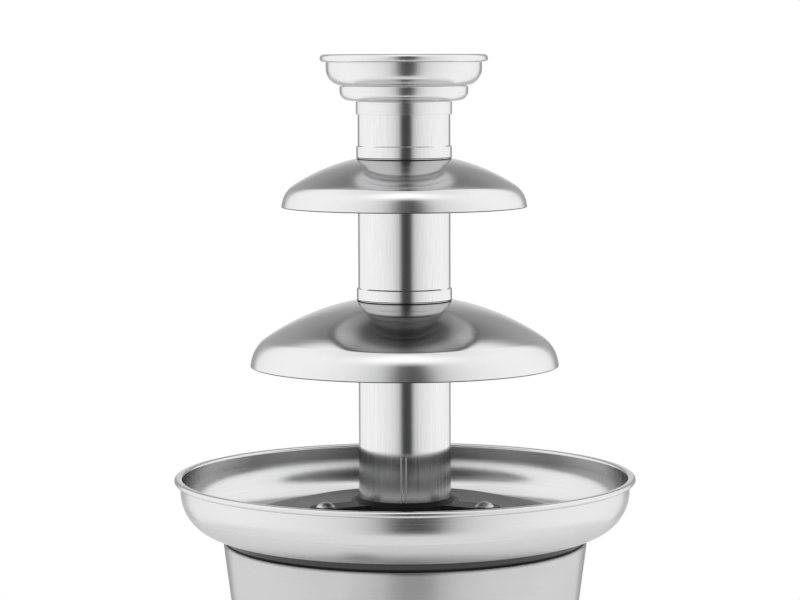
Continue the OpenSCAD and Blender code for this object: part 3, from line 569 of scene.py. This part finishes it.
class FOUNTAIN_OT_domes(Piece, bpy.types.Operator):
    """Spins the two dome tiers"""
    bl_idname = "fountain.domes"
    bl_label = "Domes"
    # Painted shade: the inside darkens towards the neck: two shares of the dome's height and the colour left
    shade_from, shade_to, shade_left = 0.6, 0.82, 0.3

    def execute(self, context):
        tower, _, finish, _ = self.settings(context)
        steel = brushed("dome_steel", finish.steel, finish.dome_gloss, "upright", fine=380.0, long=3.0,
                        grain=0.14, anisotropy=0.85, relief=0.000001)
        # painted shade: dark line along the dome's hem
        edge = plain_metal("painted_edge_shade", finish.edge, EDGE_GLOSS, EDGE_MOTTLE)
        for node, body, arc_r, slope, shoulder in (
                ("lower_dome", "lower_section", tower.lower_arc_r, tower.lower_slope, tower.lower_shoulder_r),
                ("upper_dome", "middle_section", tower.upper_arc_r, tower.upper_slope, tower.upper_shoulder_r)):
            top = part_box(node)[1]
            profile, runs = dome_profile(tower, top.z, top.x, arc_r, slope, shoulder)
            hem = min(z for _, z in profile[:-2])
            tall = top.z - hem
            shade = (hem + tall * self.shade_from, hem + tall * self.shade_to, self.shade_left)
            # rougher inside of the dome, with painted shade darkening it towards the neck
            dull = brushed(node + "_inside", finish.steel, 0.3, "round", fine=1600.0, long=9.0,
                           grain=0.3, anisotropy=0.3, painted_shade=shade)
            settle(turned(node + "_shell", profile, finishes=runs), node, body, "dome_steel", steel, dull, edge)
        return {"FINISHED"}


def belled_profile(tower, foot, seat, top):
    """Closed profile of a tube with a belled foot."""
    bell = foot + tower.collar_h
    ease = tower.collar_r - tower.tube_r
    soft = 0.00018
    bend = 0.0004
    bore = tower.tube_r - tower.tube_wall
    return ([(tower.collar_in_r, foot)] + degrees_arc((tower.collar_r - soft, foot + soft), soft, -90, 0, 4)
            + [(tower.collar_r, foot + soft + EDGE_RUN)]
            + degrees_arc((tower.collar_r - bend, bell), bend, 0, 50, 5)
            + [(tower.tube_r + TUBE_FIT, bell + ease), (tower.tube_r, bell + ease + TINY)]
            + degrees_arc((tower.tube_r - soft, top - soft), soft, 0, 90, 4)
            + [(bore, top), (bore, seat), (tower.collar_in_r, seat)])


SHADED_FOOT_RUNS = 6  # runs of a belled foot painted dark as a line of shade
ARCH_MARGIN = 2  # degrees of fine steps beside an arch
ARCH_STEP = 0.5  # degrees between the columns in an arch
ARCH_SINK = 0.25  # share of its radius that an arch's centre lies below the foot
ARCH_SHARP = 40


def arched_tube(name, tower, foot, top, arches):
    """Straight tube with round arches cut out of its foot, at turns in degrees."""
    half = math.degrees(math.asin(tower.arch_r / tower.tube_r)) + ARCH_MARGIN
    turns = {i * 360 / SPOKES for i in range(SPOKES)}
    for a in arches:
        turns |= {(a - half + i * ARCH_STEP) % 360 for i in range(int(2 * half / ARCH_STEP) + 1)}
    low = foot - tower.arch_r * ARCH_SINK
    over = foot + tower.arch_r * 2

    def foot_at(turn):
        """Height of the tube's lower edge at a turn."""
        height = foot
        for a in arches:
            off = math.radians((turn - a + 180) % 360 - 180)
            across = tower.tube_r * math.sin(off)
            if abs(off) < 1 and abs(across) < tower.arch_r:
                height = max(height, low + math.sqrt(tower.arch_r ** 2 - across ** 2))
        return height

    bm = bmesh.new()
    columns = []
    bore = tower.tube_r - tower.tube_wall
    soft = 0.0002
    for turn in sorted(turns):
        c, s = math.cos(math.radians(turn)), math.sin(math.radians(turn))
        low_z = foot_at(turn)
        points = [(bore, low_z), (tower.tube_r - soft, low_z), (tower.tube_r, low_z + soft),
                  (tower.tube_r, low_z + soft + EDGE_RUN), (tower.tube_r, over),
                  (tower.tube_r, top - soft - EDGE_RUN), (tower.tube_r, top - soft), (tower.tube_r - soft, top),
                  (bore, top), (bore, over)]
        columns.append([bm.verts.new((r * c, r * s, z)) for r, z in points])
    for near, far in zip(columns, columns[1:] + columns[:1]):
        for k in range(len(near)):
            after = (k + 1) % len(near)
            bm.faces.new((near[k], far[k], far[after], near[after]))
    return finish_mesh(name, bm, ARCH_SHARP)


class FOUNTAIN_OT_tubes(Piece, bpy.types.Operator):
    """Draws the three tower tubes"""
    bl_idname = "fountain.tubes"
    bl_label = "Tower tubes"
    arches = (20, 60, 120, 160)  # turns in degrees
    scoured_from, scoured_to = 0.014, 0.032  # heights over the foot where the scouring ends
    seam_places, seam_w, seam_h = (-0.0022, 0.0006), 0.0008, 0.0268

    def execute(self, context):
        tower, _, finish, _ = self.settings(context)
        steel = brushed("tube_steel", finish.steel, finish.tube_gloss, "upright", fine=90.0, long=60.0,
                        relief=0.000002, tint=0.09)
        # painted shade: dark line along the foot of each belled tube
        edge = plain_metal("tube_painted_edge_shade", finish.edge, EDGE_GLOSS, EDGE_MOTTLE)
        low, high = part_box("lower_tube")
        worn = (low.z + self.scoured_from, low.z + self.scoured_to, finish.tube_gloss / finish.foot_gloss)
        seam = (self.seam_places, self.seam_w, low.z + self.seam_h)
        scoured = brushed("foot_steel", finish.steel, finish.foot_gloss, "upright", fine=90.0, long=20.0,
                          relief=0.000002, tint=0.1, worn=worn, seam=seam)
        settle(arched_tube("lower_tube_shell", tower, low.z, high.z, self.arches), "lower_tube", "lower_section",
               "tube_steel", scoured)
        for node, body, below in (("middle_tube", "middle_section", "lower_tube"),
                                  ("top_tube", "top_section", "middle_tube")):
            low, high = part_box(node)
            profile = belled_profile(tower, low.z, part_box(below)[1].z, high.z)
            shell = turned(node + "_shell", profile, finishes=dict.fromkeys(range(SHADED_FOOT_RUNS), 1))
            settle(shell, node, body, "tube_steel", steel, edge)
        return {"FINISHED"}


class FOUNTAIN_OT_crown(Piece, bpy.types.Operator):
    """Spins the stepped crown"""
    bl_idname = "fountain.crown"
    bl_label = "Crown"
    floor_lift = 0.0006  # underside of the small cup over the tube's edge
    soft = 0.0008  # bends between sleeve, cups and ledge
    roll_tuck = 0.0003  # the rolled rim's overlap with the wall
    outer_share, inner_share = 1.4, 0.8  # roughness against the domes

    def execute(self, context):
        tower, _, finish, _ = self.settings(context)
        sheet = tower.crown_sheet
        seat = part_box("top_tube")[1].z
        floor = seat + self.floor_lift
        c1 = (tower.crown_step_r - tower.crown_step_corner, floor + tower.crown_step_corner)
        ledge = floor + tower.crown_step_h
        c2 = (tower.crown_r - tower.crown_corner, ledge + tower.crown_corner)
        soft = self.soft
        start = math.degrees(math.acos((tower.crown_step_r + soft - c2[0]) / (tower.crown_corner + soft)))
        step_c = (tower.crown_step_r + soft, c2[1] - (tower.crown_corner + soft) * math.sin(math.radians(start)))
        roll = (tower.crown_r - sheet - self.roll_tuck + tower.crown_roll, ledge + tower.crown_cup_h)
        sleeve_r = tower.collar_in_r + sheet
        bore = tower.tube_r - tower.tube_wall
        sleeve_z = seat - tower.sleeve_l
        wall = ([(tower.collar_in_r, sleeve_z), (sleeve_r - TINY, sleeve_z), (sleeve_r, sleeve_z + TINY)]
                + degrees_arc((sleeve_r + soft, floor - soft), soft, 180, 90, 6)
                + degrees_arc(c1, tower.crown_step_corner, -90, 0, 20)
                + degrees_arc(step_c, soft, 180, 180 - start, 6)
                + degrees_arc(c2, tower.crown_corner, -start, 0, 20)
                + [(tower.crown_r, roll[1])])
        lining = ([(tower.crown_r - sheet, roll[1])]
                  + degrees_arc(c2, tower.crown_corner - sheet, 0, -start, 20)
                  + degrees_arc(step_c, soft + sheet, 180 - start, 180, 6)
                  + degrees_arc(c1, tower.crown_step_corner - sheet, 0, -90, 20)
                  + [(bore, floor + sheet), (bore, seat), (tower.collar_in_r, seat)])
        rim = degrees_arc(roll, tower.crown_roll, 0, 345, 23)
        steel = brushed("crown_steel", finish.steel, finish.dome_gloss * self.outer_share, "round",
                        fine=2600.0, long=18.0, grain=0.2, anisotropy=0.3, relief=0.000001)
        inside = brushed("crown_inside", finish.steel, finish.dome_gloss * self.inner_share, "round",
                         fine=900.0, long=12.0, grain=0.15, anisotropy=0.2, relief=0.000001)
        runs = dict.fromkeys(range(len(wall), len(wall + lining)), 1)
        shell = turned("crown_shell", wall + lining, rim, finishes=runs)
        settle(shell, "crown_cup", "crown", "dome_steel", steel, inside)
        return {"FINISHED"}


class FOUNTAIN_OT_bowl(Piece, bpy.types.Operator):
    """Spins the bowl and lays its rubber ring"""
    bl_idname = "fountain.bowl"
    bl_label = "Bowl"
    corner_steps = 32
    bright_steps = 9  # steps of the outer corner before the dull underside
    pad_edge, pad_under = 0.0015, 0.002  # widths of the pad's softened edge, above and below
    # painted shade: the inner wall's colour darkens up to its rim
    shade_from, shade_to, shade_left = 0.013, 0.008, 0.8  # the inner wall darkens up to its rim: depths and colour left

    def execute(self, context):
        _, bowl, finish, _ = self.settings(context)
        self.spin_bowl(bowl, finish)
        self.lay_ring(bowl, finish)
        return {"FINISHED"}

    def spin_bowl(self, bowl, finish):
        """The bowl, from the hole in its floor over the rim to the underside."""
        sheet = bowl.sheet
        low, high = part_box("bowl")
        bottom, rim_z = low.z, high.z - bowl.roll
        trough = bottom + sheet
        pad = trough + bowl.pad_rise
        slope, step, fillet = bowl.hub_slope, bowl.step_slope, bowl.step_fillet
        foot_c = (bowl.trough_r, trough + fillet)
        foot_end = (foot_c[0] - fillet * math.sin(step), foot_c[1] - fillet * math.cos(step))
        turn = (fillet * (math.sin(slope) - math.sin(step)), fillet * (math.cos(slope) - math.cos(step)))
        rise = pad - (foot_end[0] + turn[0] - bowl.pad_r) * math.tan(slope) - foot_end[1] - turn[1]
        straight = rise / (math.sin(step) - math.cos(step) * math.tan(slope))
        head_c = (foot_end[0] - straight * math.cos(step) - fillet * math.sin(step),
                  foot_end[1] + straight * math.sin(step) - fillet * math.cos(step))
        corner_c = (bowl.bowl_r - bowl.corner, bottom + bowl.corner)
        up = math.pi / 2
        inner_r = bowl.bowl_r - sheet
        floor = ([(bowl.hub_hole_r, pad), (bowl.pad_r - self.pad_edge, pad), (bowl.pad_r, pad - TINY)]
                 + arc(head_c, fillet, up - slope, up - step, 10))
        wall = (floor + arc(foot_c, fillet, 3 * up - step, 3 * up, 10)
                + arc(corner_c, bowl.corner - sheet, 3 * up, 4 * up, self.corner_steps))
        rim = (degrees_arc((inner_r + bowl.roll, rim_z), bowl.roll, 180, 90, 8)
               + degrees_arc((bowl.bowl_r + bowl.roll, rim_z), bowl.roll, 90, -130, 18)
               + [(bowl.bowl_r + TINY, rim_z - bowl.roll * 0.9), (bowl.bowl_r, rim_z - bowl.roll)])
        profile = (wall + rim + arc(corner_c, bowl.corner, 4 * up, 3 * up, self.corner_steps)
                   + arc(foot_c, fillet + sheet, 3 * up, 3 * up - step, 10)
                   + arc(head_c, fillet - sheet, up - step, up - slope, 10)
                   + [(bowl.pad_r, pad - sheet * 1.03), (bowl.pad_r - self.pad_under, pad - sheet),
                      (bowl.hub_hole_r, pad - sheet)])
        steel = brushed("bowl_steel", finish.satin, finish.bowl_gloss, "round", fine=2200.0, long=10.0,
                        grain=0.3, anisotropy=0.35, relief=0.000006)
        # inner wall, with painted shade darkening it up to the rim
        spun_shaded = brushed("bowl_inside", finish.satin, finish.spun_gloss, "round", fine=2200.0, long=10.0,
                       grain=0.2, relief=0.000006, tint=0.05,
                       painted_shade=(rim_z - self.shade_from, rim_z - self.shade_to, self.shade_left))
        # the pad of the floor takes a much darker steel colour than the rest of the bowl
        dull = brushed("pad_steel", finish.dull, 0.4, "round", fine=1200.0, long=9.0,
                       grain=0.3, anisotropy=0.3, tint=0.06)
        under = brushed("bowl_underside", finish.satin, finish.under_gloss, "round", fine=2200.0, long=10.0,
                        grain=0.3, anisotropy=0.35, relief=0.000006)
        runs = (dict.fromkeys(range(len(wall)), 1) | dict.fromkeys(range(len(floor) - 1), 2)
                | dict.fromkeys(range(len(wall + rim) + self.bright_steps, len(profile)), 3))
        settle(turned("bowl_shell", profile, finishes=runs), "bowl", "base", "bowl_steel", steel, spun_shaded, dull, under)

    def lay_ring(self, bowl, finish):
        """The leaning ring, with a groove at its foot painted dark as shadow."""
        low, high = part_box("bowl_gasket")
        outer = high.x + bowl.ring_swell
        inner = bowl.trough_r + bowl.ring_gap
        soft = bowl.ring_soft
        groove = (outer - bowl.ring_lean * 0.7, low.z + (high.z - low.z) * 0.3)
        ring = ([(inner, low.z), (outer - bowl.ring_lean, low.z), groove, (outer - soft * 0.2, high.z - soft * 1.6)]
                + degrees_arc((outer - soft, high.z - soft), soft, 0, 90, 5) + [(inner, high.z)])
        rubber = moulded("ring_rubber", finish.ring, 0.42, RUBBER_SKIN)
        # painted shadow: the groove at the ring's foot takes the darker rubber and less shine
        groove_shadow = moulded("ring_groove_painted_shadow", finish.rubber, 0.7, RUBBER_SKIN, shine=0.1)
        settle(turned("ring_shell", ring, finishes={1: 1}), "bowl_gasket", "base", "black_rubber", rubber, groove_shadow)


class FOUNTAIN_OT_base(Piece, bpy.types.Operator):
    """Finishes the housing, the bottom cover and the feet"""
    bl_idname = "fountain.base"
    bl_label = "Base"

    def execute(self, context):
        _, _, finish, _ = self.settings(context)
        paint(brushed("base_steel", finish.base, finish.base_gloss, "round", fine=2400.0, long=7.0,
                      grain=0.2, anisotropy=1.0, relief=0.000006, tint=0.05), "base_shell")
        paint(moulded("cover_plastic", finish.plastic, 0.45), "bottom_cover")
        paint(moulded("foot_rubber", finish.rubber, 0.6, scale=700.0), "rubber_feet")
        return {"FINISHED"}


class FOUNTAIN_OT_mount(Piece, bpy.types.Operator):
    """Finishes the black seat of the tower and its screws"""
    bl_idname = "fountain.mount"
    bl_label = "Tower mount"

    def execute(self, context):
        _, _, finish, _ = self.settings(context)
        paint(moulded("mount_plastic", finish.plastic, 0.4, scale=500.0, relief=0.00002, strength=0.15, shine=0.05),
              "tower_mount")
        paint(plain_metal("bright_screw", (0.55, 0.55, 0.55), 0.38),
              "mount_screws", "seal_carrier", "drive_dog", "output_shaft")
        return {"FINISHED"}


class FOUNTAIN_OT_auger(Piece, bpy.types.Operator):
    """Finishes the auger"""
    bl_idname = "fountain.auger"
    bl_label = "Auger"

    def execute(self, context):
        _, _, finish, _ = self.settings(context)
        paint(brushed("auger_steel", finish.satin, 0.3, "round", fine=1500.0, long=10.0),
              "auger_core", "auger_flight", "auger_tip")
        return {"FINISHED"}


class FOUNTAIN_OT_controls(Piece, bpy.types.Operator):
    """Finishes the control panel, dial, switch and lamp"""
    bl_idname = "fountain.controls"
    bl_label = "Controls"

    def execute(self, context):
        _, _, finish, _ = self.settings(context)
        panel = moulded("panel_plastic", finish.panel, 0.32)
        paint(printed(panel, finish.ink, dial_scale), "control_panel")
        paint(moulded("housing_plastic", finish.plastic, 0.3), "switch_housing")
        paint(moulded("knob_plastic", finish.knob, 0.32, RUBBER_SKIN), "heat_knob")
        paint(moulded("pointer_white", finish.ink, 0.4), "knob_pointer")
        rocker = moulded("rocker_plastic", finish.knob, 0.22, scale=300.0, relief=0.00001)
        paint(printed(rocker, finish.ink, switch_marks), "rocker_button")
        paint(moulded("lamp_lens", finish.lamp, 0.12, scale=250.0, relief=0.00002), "pilot_lamp")
        return {"FINISHED"}


class FOUNTAIN_OT_supply(Piece, bpy.types.Operator):
    """Finishes the mains inlet"""
    bl_idname = "fountain.supply"
    bl_label = "Mains inlet"

    def execute(self, context):
        _, _, finish, _ = self.settings(context)
        paint(moulded("inlet_plastic", finish.plastic, 0.38), "mains_inlet")
        paint(plain_metal("pin_nickel", (0.72, 0.7, 0.66), 0.2), "inlet_pins")
        return {"FINISHED"}


class FOUNTAIN_OT_inside(Piece, bpy.types.Operator):
    """Finishes the drive, the heater and the hardware inside the base"""
    bl_idname = "fountain.inside"
    bl_label = "Inside"

    def execute(self, context):
        paint(plain_metal("zinc_screw", (0.62, 0.62, 0.6), 0.3),
              "cover_screws", "foot_screws", "tie_posts", "bowl_studs", "clamp_nuts", "mount_nuts", "bracket_spacers",
              "gearbox_screws", "idler_pin", "hub_nut", "dial_nut", "dial_spindle")
        paint(plain_metal("zinc_sheet", (0.55, 0.56, 0.57), 0.35, scale=40.0), "motor_bracket", "heater_clamp")
        paint(plain_metal("heater_sheath", (0.09, 0.085, 0.08), 0.5, scale=90.0), "heating_ring")
        paint(plain_metal("motor_can", (0.3, 0.31, 0.33), 0.35, scale=60.0), "motor")
        paint(plain_metal("cast_alloy", (0.6, 0.6, 0.61), 0.45, scale=300.0), "gearbox_case", "gearbox_cover")
        paint(moulded("gear_nylon", (0.78, 0.72, 0.58), 0.4), "output_gear", "idler_gear")
        paint(plain_metal("pinion_brass", (0.78, 0.6, 0.28), 0.25), "motor_pinion")
        paint(plain_metal("bush_bronze", (0.6, 0.4, 0.22), 0.4, scale=400.0), "shaft_bush")
        paint(moulded("seal_silicone", (0.42, 0.08, 0.05), 0.5), "shaft_seal")
        paint(moulded("control_phenolic", (0.2, 0.12, 0.07), 0.45), "thermostat", "thermal_cutout")
        paint(moulded("terminal_nylon", (0.78, 0.76, 0.7), 0.45), "terminal_block")
        return {"FINISHED"}


# Studio: greys of the light by degrees from the gap, and by shares of the climb from CLIMB_FROM over CLIMB_SPAN degrees
BANKS = ((0, 0.06), (8, 0.08), (12, 0.2), (16, 0.42), (20, 0.58), (26, 0.69), (35, 0.8), (50, 0.89), (70, 0.96),
         (100, 1.0))
UPPER_BACK = ((0.4, 0.34), (0.5, 0.23), (0.6, 0.19), (0.72, 0.3), (0.82, 0.7))
FLAG = ((0.0, 0.55), (0.04, 0.32), (0.1, 0.35), (0.2, 0.44), (0.3, 0.4), *UPPER_BACK)
BACKDROP = ((0.0, 1.0), (0.2, 0.75), (0.3, 0.5), *UPPER_BACK)
CLIMB_FROM, CLIMB_SPAN = -10, 100
BACKDROP_EDGE = (168, 173)  # degrees from the front, as are the next two
FLAG_EDGE = (143, 153)
RAISE_EDGE = (130, 160)
TOP_FRONT, TOP_BACK, TOP_SPREAD = 1.2, 0.85, (15, 110)
TOP_EDGE, TOP_RAISE = (46, 72), 9  # height of the top light's edge, and how much higher it lies at the back
LAMP_TARGET = (0, 0, 0.15)
LAMPS = (("bank_left", (-1.5, -1.3, 1.1), LAMP_TARGET, (1.2, 1.6), 8),
         ("bank_right", (1.5, -1.3, 1.1), LAMP_TARGET, (1.2, 1.6), 8),
         ("top_bank", (0, 0.1, 2.0), (0, 0, 0.1), (1.8, 1.8), 9))
FLOOR_R = 0.37
GLOW_EDGE, GLOW = (0.18, 0.35), (0.35, 1.0)  # distances from the tower, and the floor's own light to the camera there
SENSOR_W = 36
CLIP_START = 0.05


def ramp(tree, value, stops):
    """Grey ramp: stops are (position, grey)."""
    node = tree.nodes.new("ShaderNodeValToRGB")
    elements = node.color_ramp.elements
    while len(elements) < len(stops):
        elements.new(0.5)
    for element, (position, grey) in zip(elements, stops):
        element.position = position
        element.color = (grey, grey, grey, 1)
    tree.links.new(value, node.inputs["Fac"])
    return node.outputs["Color"]


def build_world(stage):
    """White room with two front light banks, a gap between them, a top light and a dimmer upper back."""
    world = bpy.data.worlds.new("Studio")
    bpy.context.scene.world = world
    world.use_nodes = True
    world.cycles.sampling_method = "NONE"
    tree = world.node_tree
    x, y, z = axes(tree, tree.nodes.new("ShaderNodeTexCoord").outputs["Generated"])
    turn = math_node(tree, "ARCTAN2", x, times(tree, y, -1.0))
    around = math_node(tree, "ABSOLUTE", turn)
    off_gap = math_node(tree, "ABSOLUTE", math_node(tree, "SUBTRACT", turn, stage.gap_turn))
    height = math_node(tree, "ARCSINE", z)

    def passed(value, edge):
        """0 before an edge, given as two angles in degrees, and 1 after it."""
        return smooth(tree, value, *map(math.radians, edge))

    front = ramp(tree, math_node(tree, "DIVIDE", off_gap, math.pi), [(degrees / 180, grey) for degrees, grey in BANKS])
    climb = math_node(tree, "DIVIDE", math_node(tree, "SUBTRACT", height, math.radians(CLIMB_FROM)),
                      math.radians(CLIMB_SPAN))
    behind = mix_grey(tree, passed(around, BACKDROP_EDGE), ramp(tree, climb, FLAG), ramp(tree, climb, BACKDROP))
    sides = mix_grey(tree, passed(around, FLAG_EDGE), front, behind)
    top = mix_grey(tree, passed(around, TOP_SPREAD), TOP_FRONT, TOP_BACK)
    raised = mix_grey(tree, passed(around, RAISE_EDGE), 0.0, math.radians(TOP_RAISE))
    studio = mix_grey(tree, passed(math_node(tree, "SUBTRACT", height, raised), TOP_EDGE), sides, top)
    path = tree.nodes.new("ShaderNodeLightPath").outputs
    seen = mix_grey(tree, path["Is Glossy Ray"], stage.fill, times(tree, studio, stage.banks))
    straight = math_node(tree, "MAXIMUM", path["Is Camera Ray"], path["Is Transmission Ray"])
    background = tree.nodes["Background"]
    background.inputs["Color"].default_value = (1, 1, 1, 1)
    tree.links.new(mix_grey(tree, straight, seen, 1.0), background.inputs["Strength"])


def build_lamp(name, place, target, size, power):
    """Soft lamp for the matt surfaces and the floor's shadow."""
    data = bpy.data.lights.new(name, "AREA")
    data.shape = "RECTANGLE"
    data.size, data.size_y = size
    data.energy = power
    lamp = bpy.data.objects.new(name, data)
    lamp.location = place
    lamp.rotation_euler = (Vector(target) - Vector(place)).to_track_quat("-Z", "Y").to_euler()
    lamp.visible_glossy = False
    bpy.context.scene.collection.objects.link(lamp)


def build_floor(stage):
    """Round pale floor that is white to the camera and keeps the shadow."""
    bm = bmesh.new()
    bmesh.ops.create_circle(bm, cap_ends=True, segments=128, radius=FLOOR_R)
    floor = finish_mesh("floor", bm)
    material, tree, shader, place = new_material("floor_white")
    shader.inputs["Roughness"].default_value = 0.9
    shader.inputs["Specular IOR Level"].default_value = 0.0
    tinted(tree, shader, stage.floor, noise(tree, place, 3.0), 0.99, 1.01)
    shader.inputs["Emission Color"].default_value = (1, 1, 1, 1)
    far = tree.nodes.new("ShaderNodeVectorMath")
    far.operation = "LENGTH"
    tree.links.new(place, far.inputs[0])
    glow = spread(tree, far.outputs["Value"], *GLOW, GLOW_EDGE)
    path = tree.nodes.new("ShaderNodeLightPath").outputs
    seen = times(tree, path["Is Camera Ray"], glow)
    mirrored = times(tree, path["Is Glossy Ray"], stage.banks - 1)
    tree.links.new(math_node(tree, "ADD", seen, mirrored), shader.inputs["Emission Strength"])
    floor.data.materials.append(material)


class FOUNTAIN_OT_stage(Piece, bpy.types.Operator):
    """Sets the floor, the light and the camera"""
    bl_idname = "fountain.stage"
    bl_label = "Stage"

    def execute(self, context):
        _, _, _, stage = self.settings(context)
        scene = context.scene
        scene.view_settings.view_transform = "Standard"
        build_world(stage)
        build_floor(stage)
        for lamp in LAMPS:
            build_lamp(*lamp)
        data = bpy.data.cameras.new("camera")
        data.lens = stage.lens
        data.sensor_width = SENSOR_W
        data.clip_start = CLIP_START
        camera = bpy.data.objects.new("camera", data)
        camera.location = stage.camera_place
        camera.rotation_euler = (math.pi / 2 - stage.camera_tilt, stage.camera_roll, 0)
        scene.collection.objects.link(camera)
        scene.camera = camera
        return {"FINISHED"}


# Operators, in the order they run, and settings
PIECES = (FOUNTAIN_OT_domes, FOUNTAIN_OT_tubes, FOUNTAIN_OT_crown, FOUNTAIN_OT_bowl, FOUNTAIN_OT_base,
          FOUNTAIN_OT_mount, FOUNTAIN_OT_auger, FOUNTAIN_OT_controls, FOUNTAIN_OT_supply, FOUNTAIN_OT_inside,
          FOUNTAIN_OT_stage)
GROUPS = (("fountain_tower", TowerSizes), ("fountain_bowl", BowlSizes), ("fountain_finish", Finishes),
          ("fountain_stage", StageSettings))


class FOUNTAIN_PT_panel(bpy.types.Panel):
    """Lists the pieces in the order they are made"""
    bl_label = "Chocolate Fountain"
    bl_idname = "FOUNTAIN_PT_panel"
    bl_space_type = "VIEW_3D"
    bl_region_type = "UI"
    bl_category = "Fountain"

    def draw(self, context):
        for piece in PIECES:
            self.layout.operator(piece.bl_idname)


def register():
    for name, group in GROUPS:
        bpy.utils.register_class(group)
        setattr(bpy.types.Scene, name, PointerProperty(type=group))
    for piece in PIECES:
        bpy.utils.register_class(piece)
    bpy.utils.register_class(FOUNTAIN_PT_panel)


def unregister():
    bpy.utils.unregister_class(FOUNTAIN_PT_panel)
    for piece in reversed(PIECES):
        bpy.utils.unregister_class(piece)
    for name, group in reversed(GROUPS):
        delattr(bpy.types.Scene, name)
        bpy.utils.unregister_class(group)


def main():
    register()
    for piece in PIECES:
        family, name = piece.bl_idname.split(".")
        getattr(getattr(bpy.ops, family), name)()


if __name__ == "__main__":
    main()
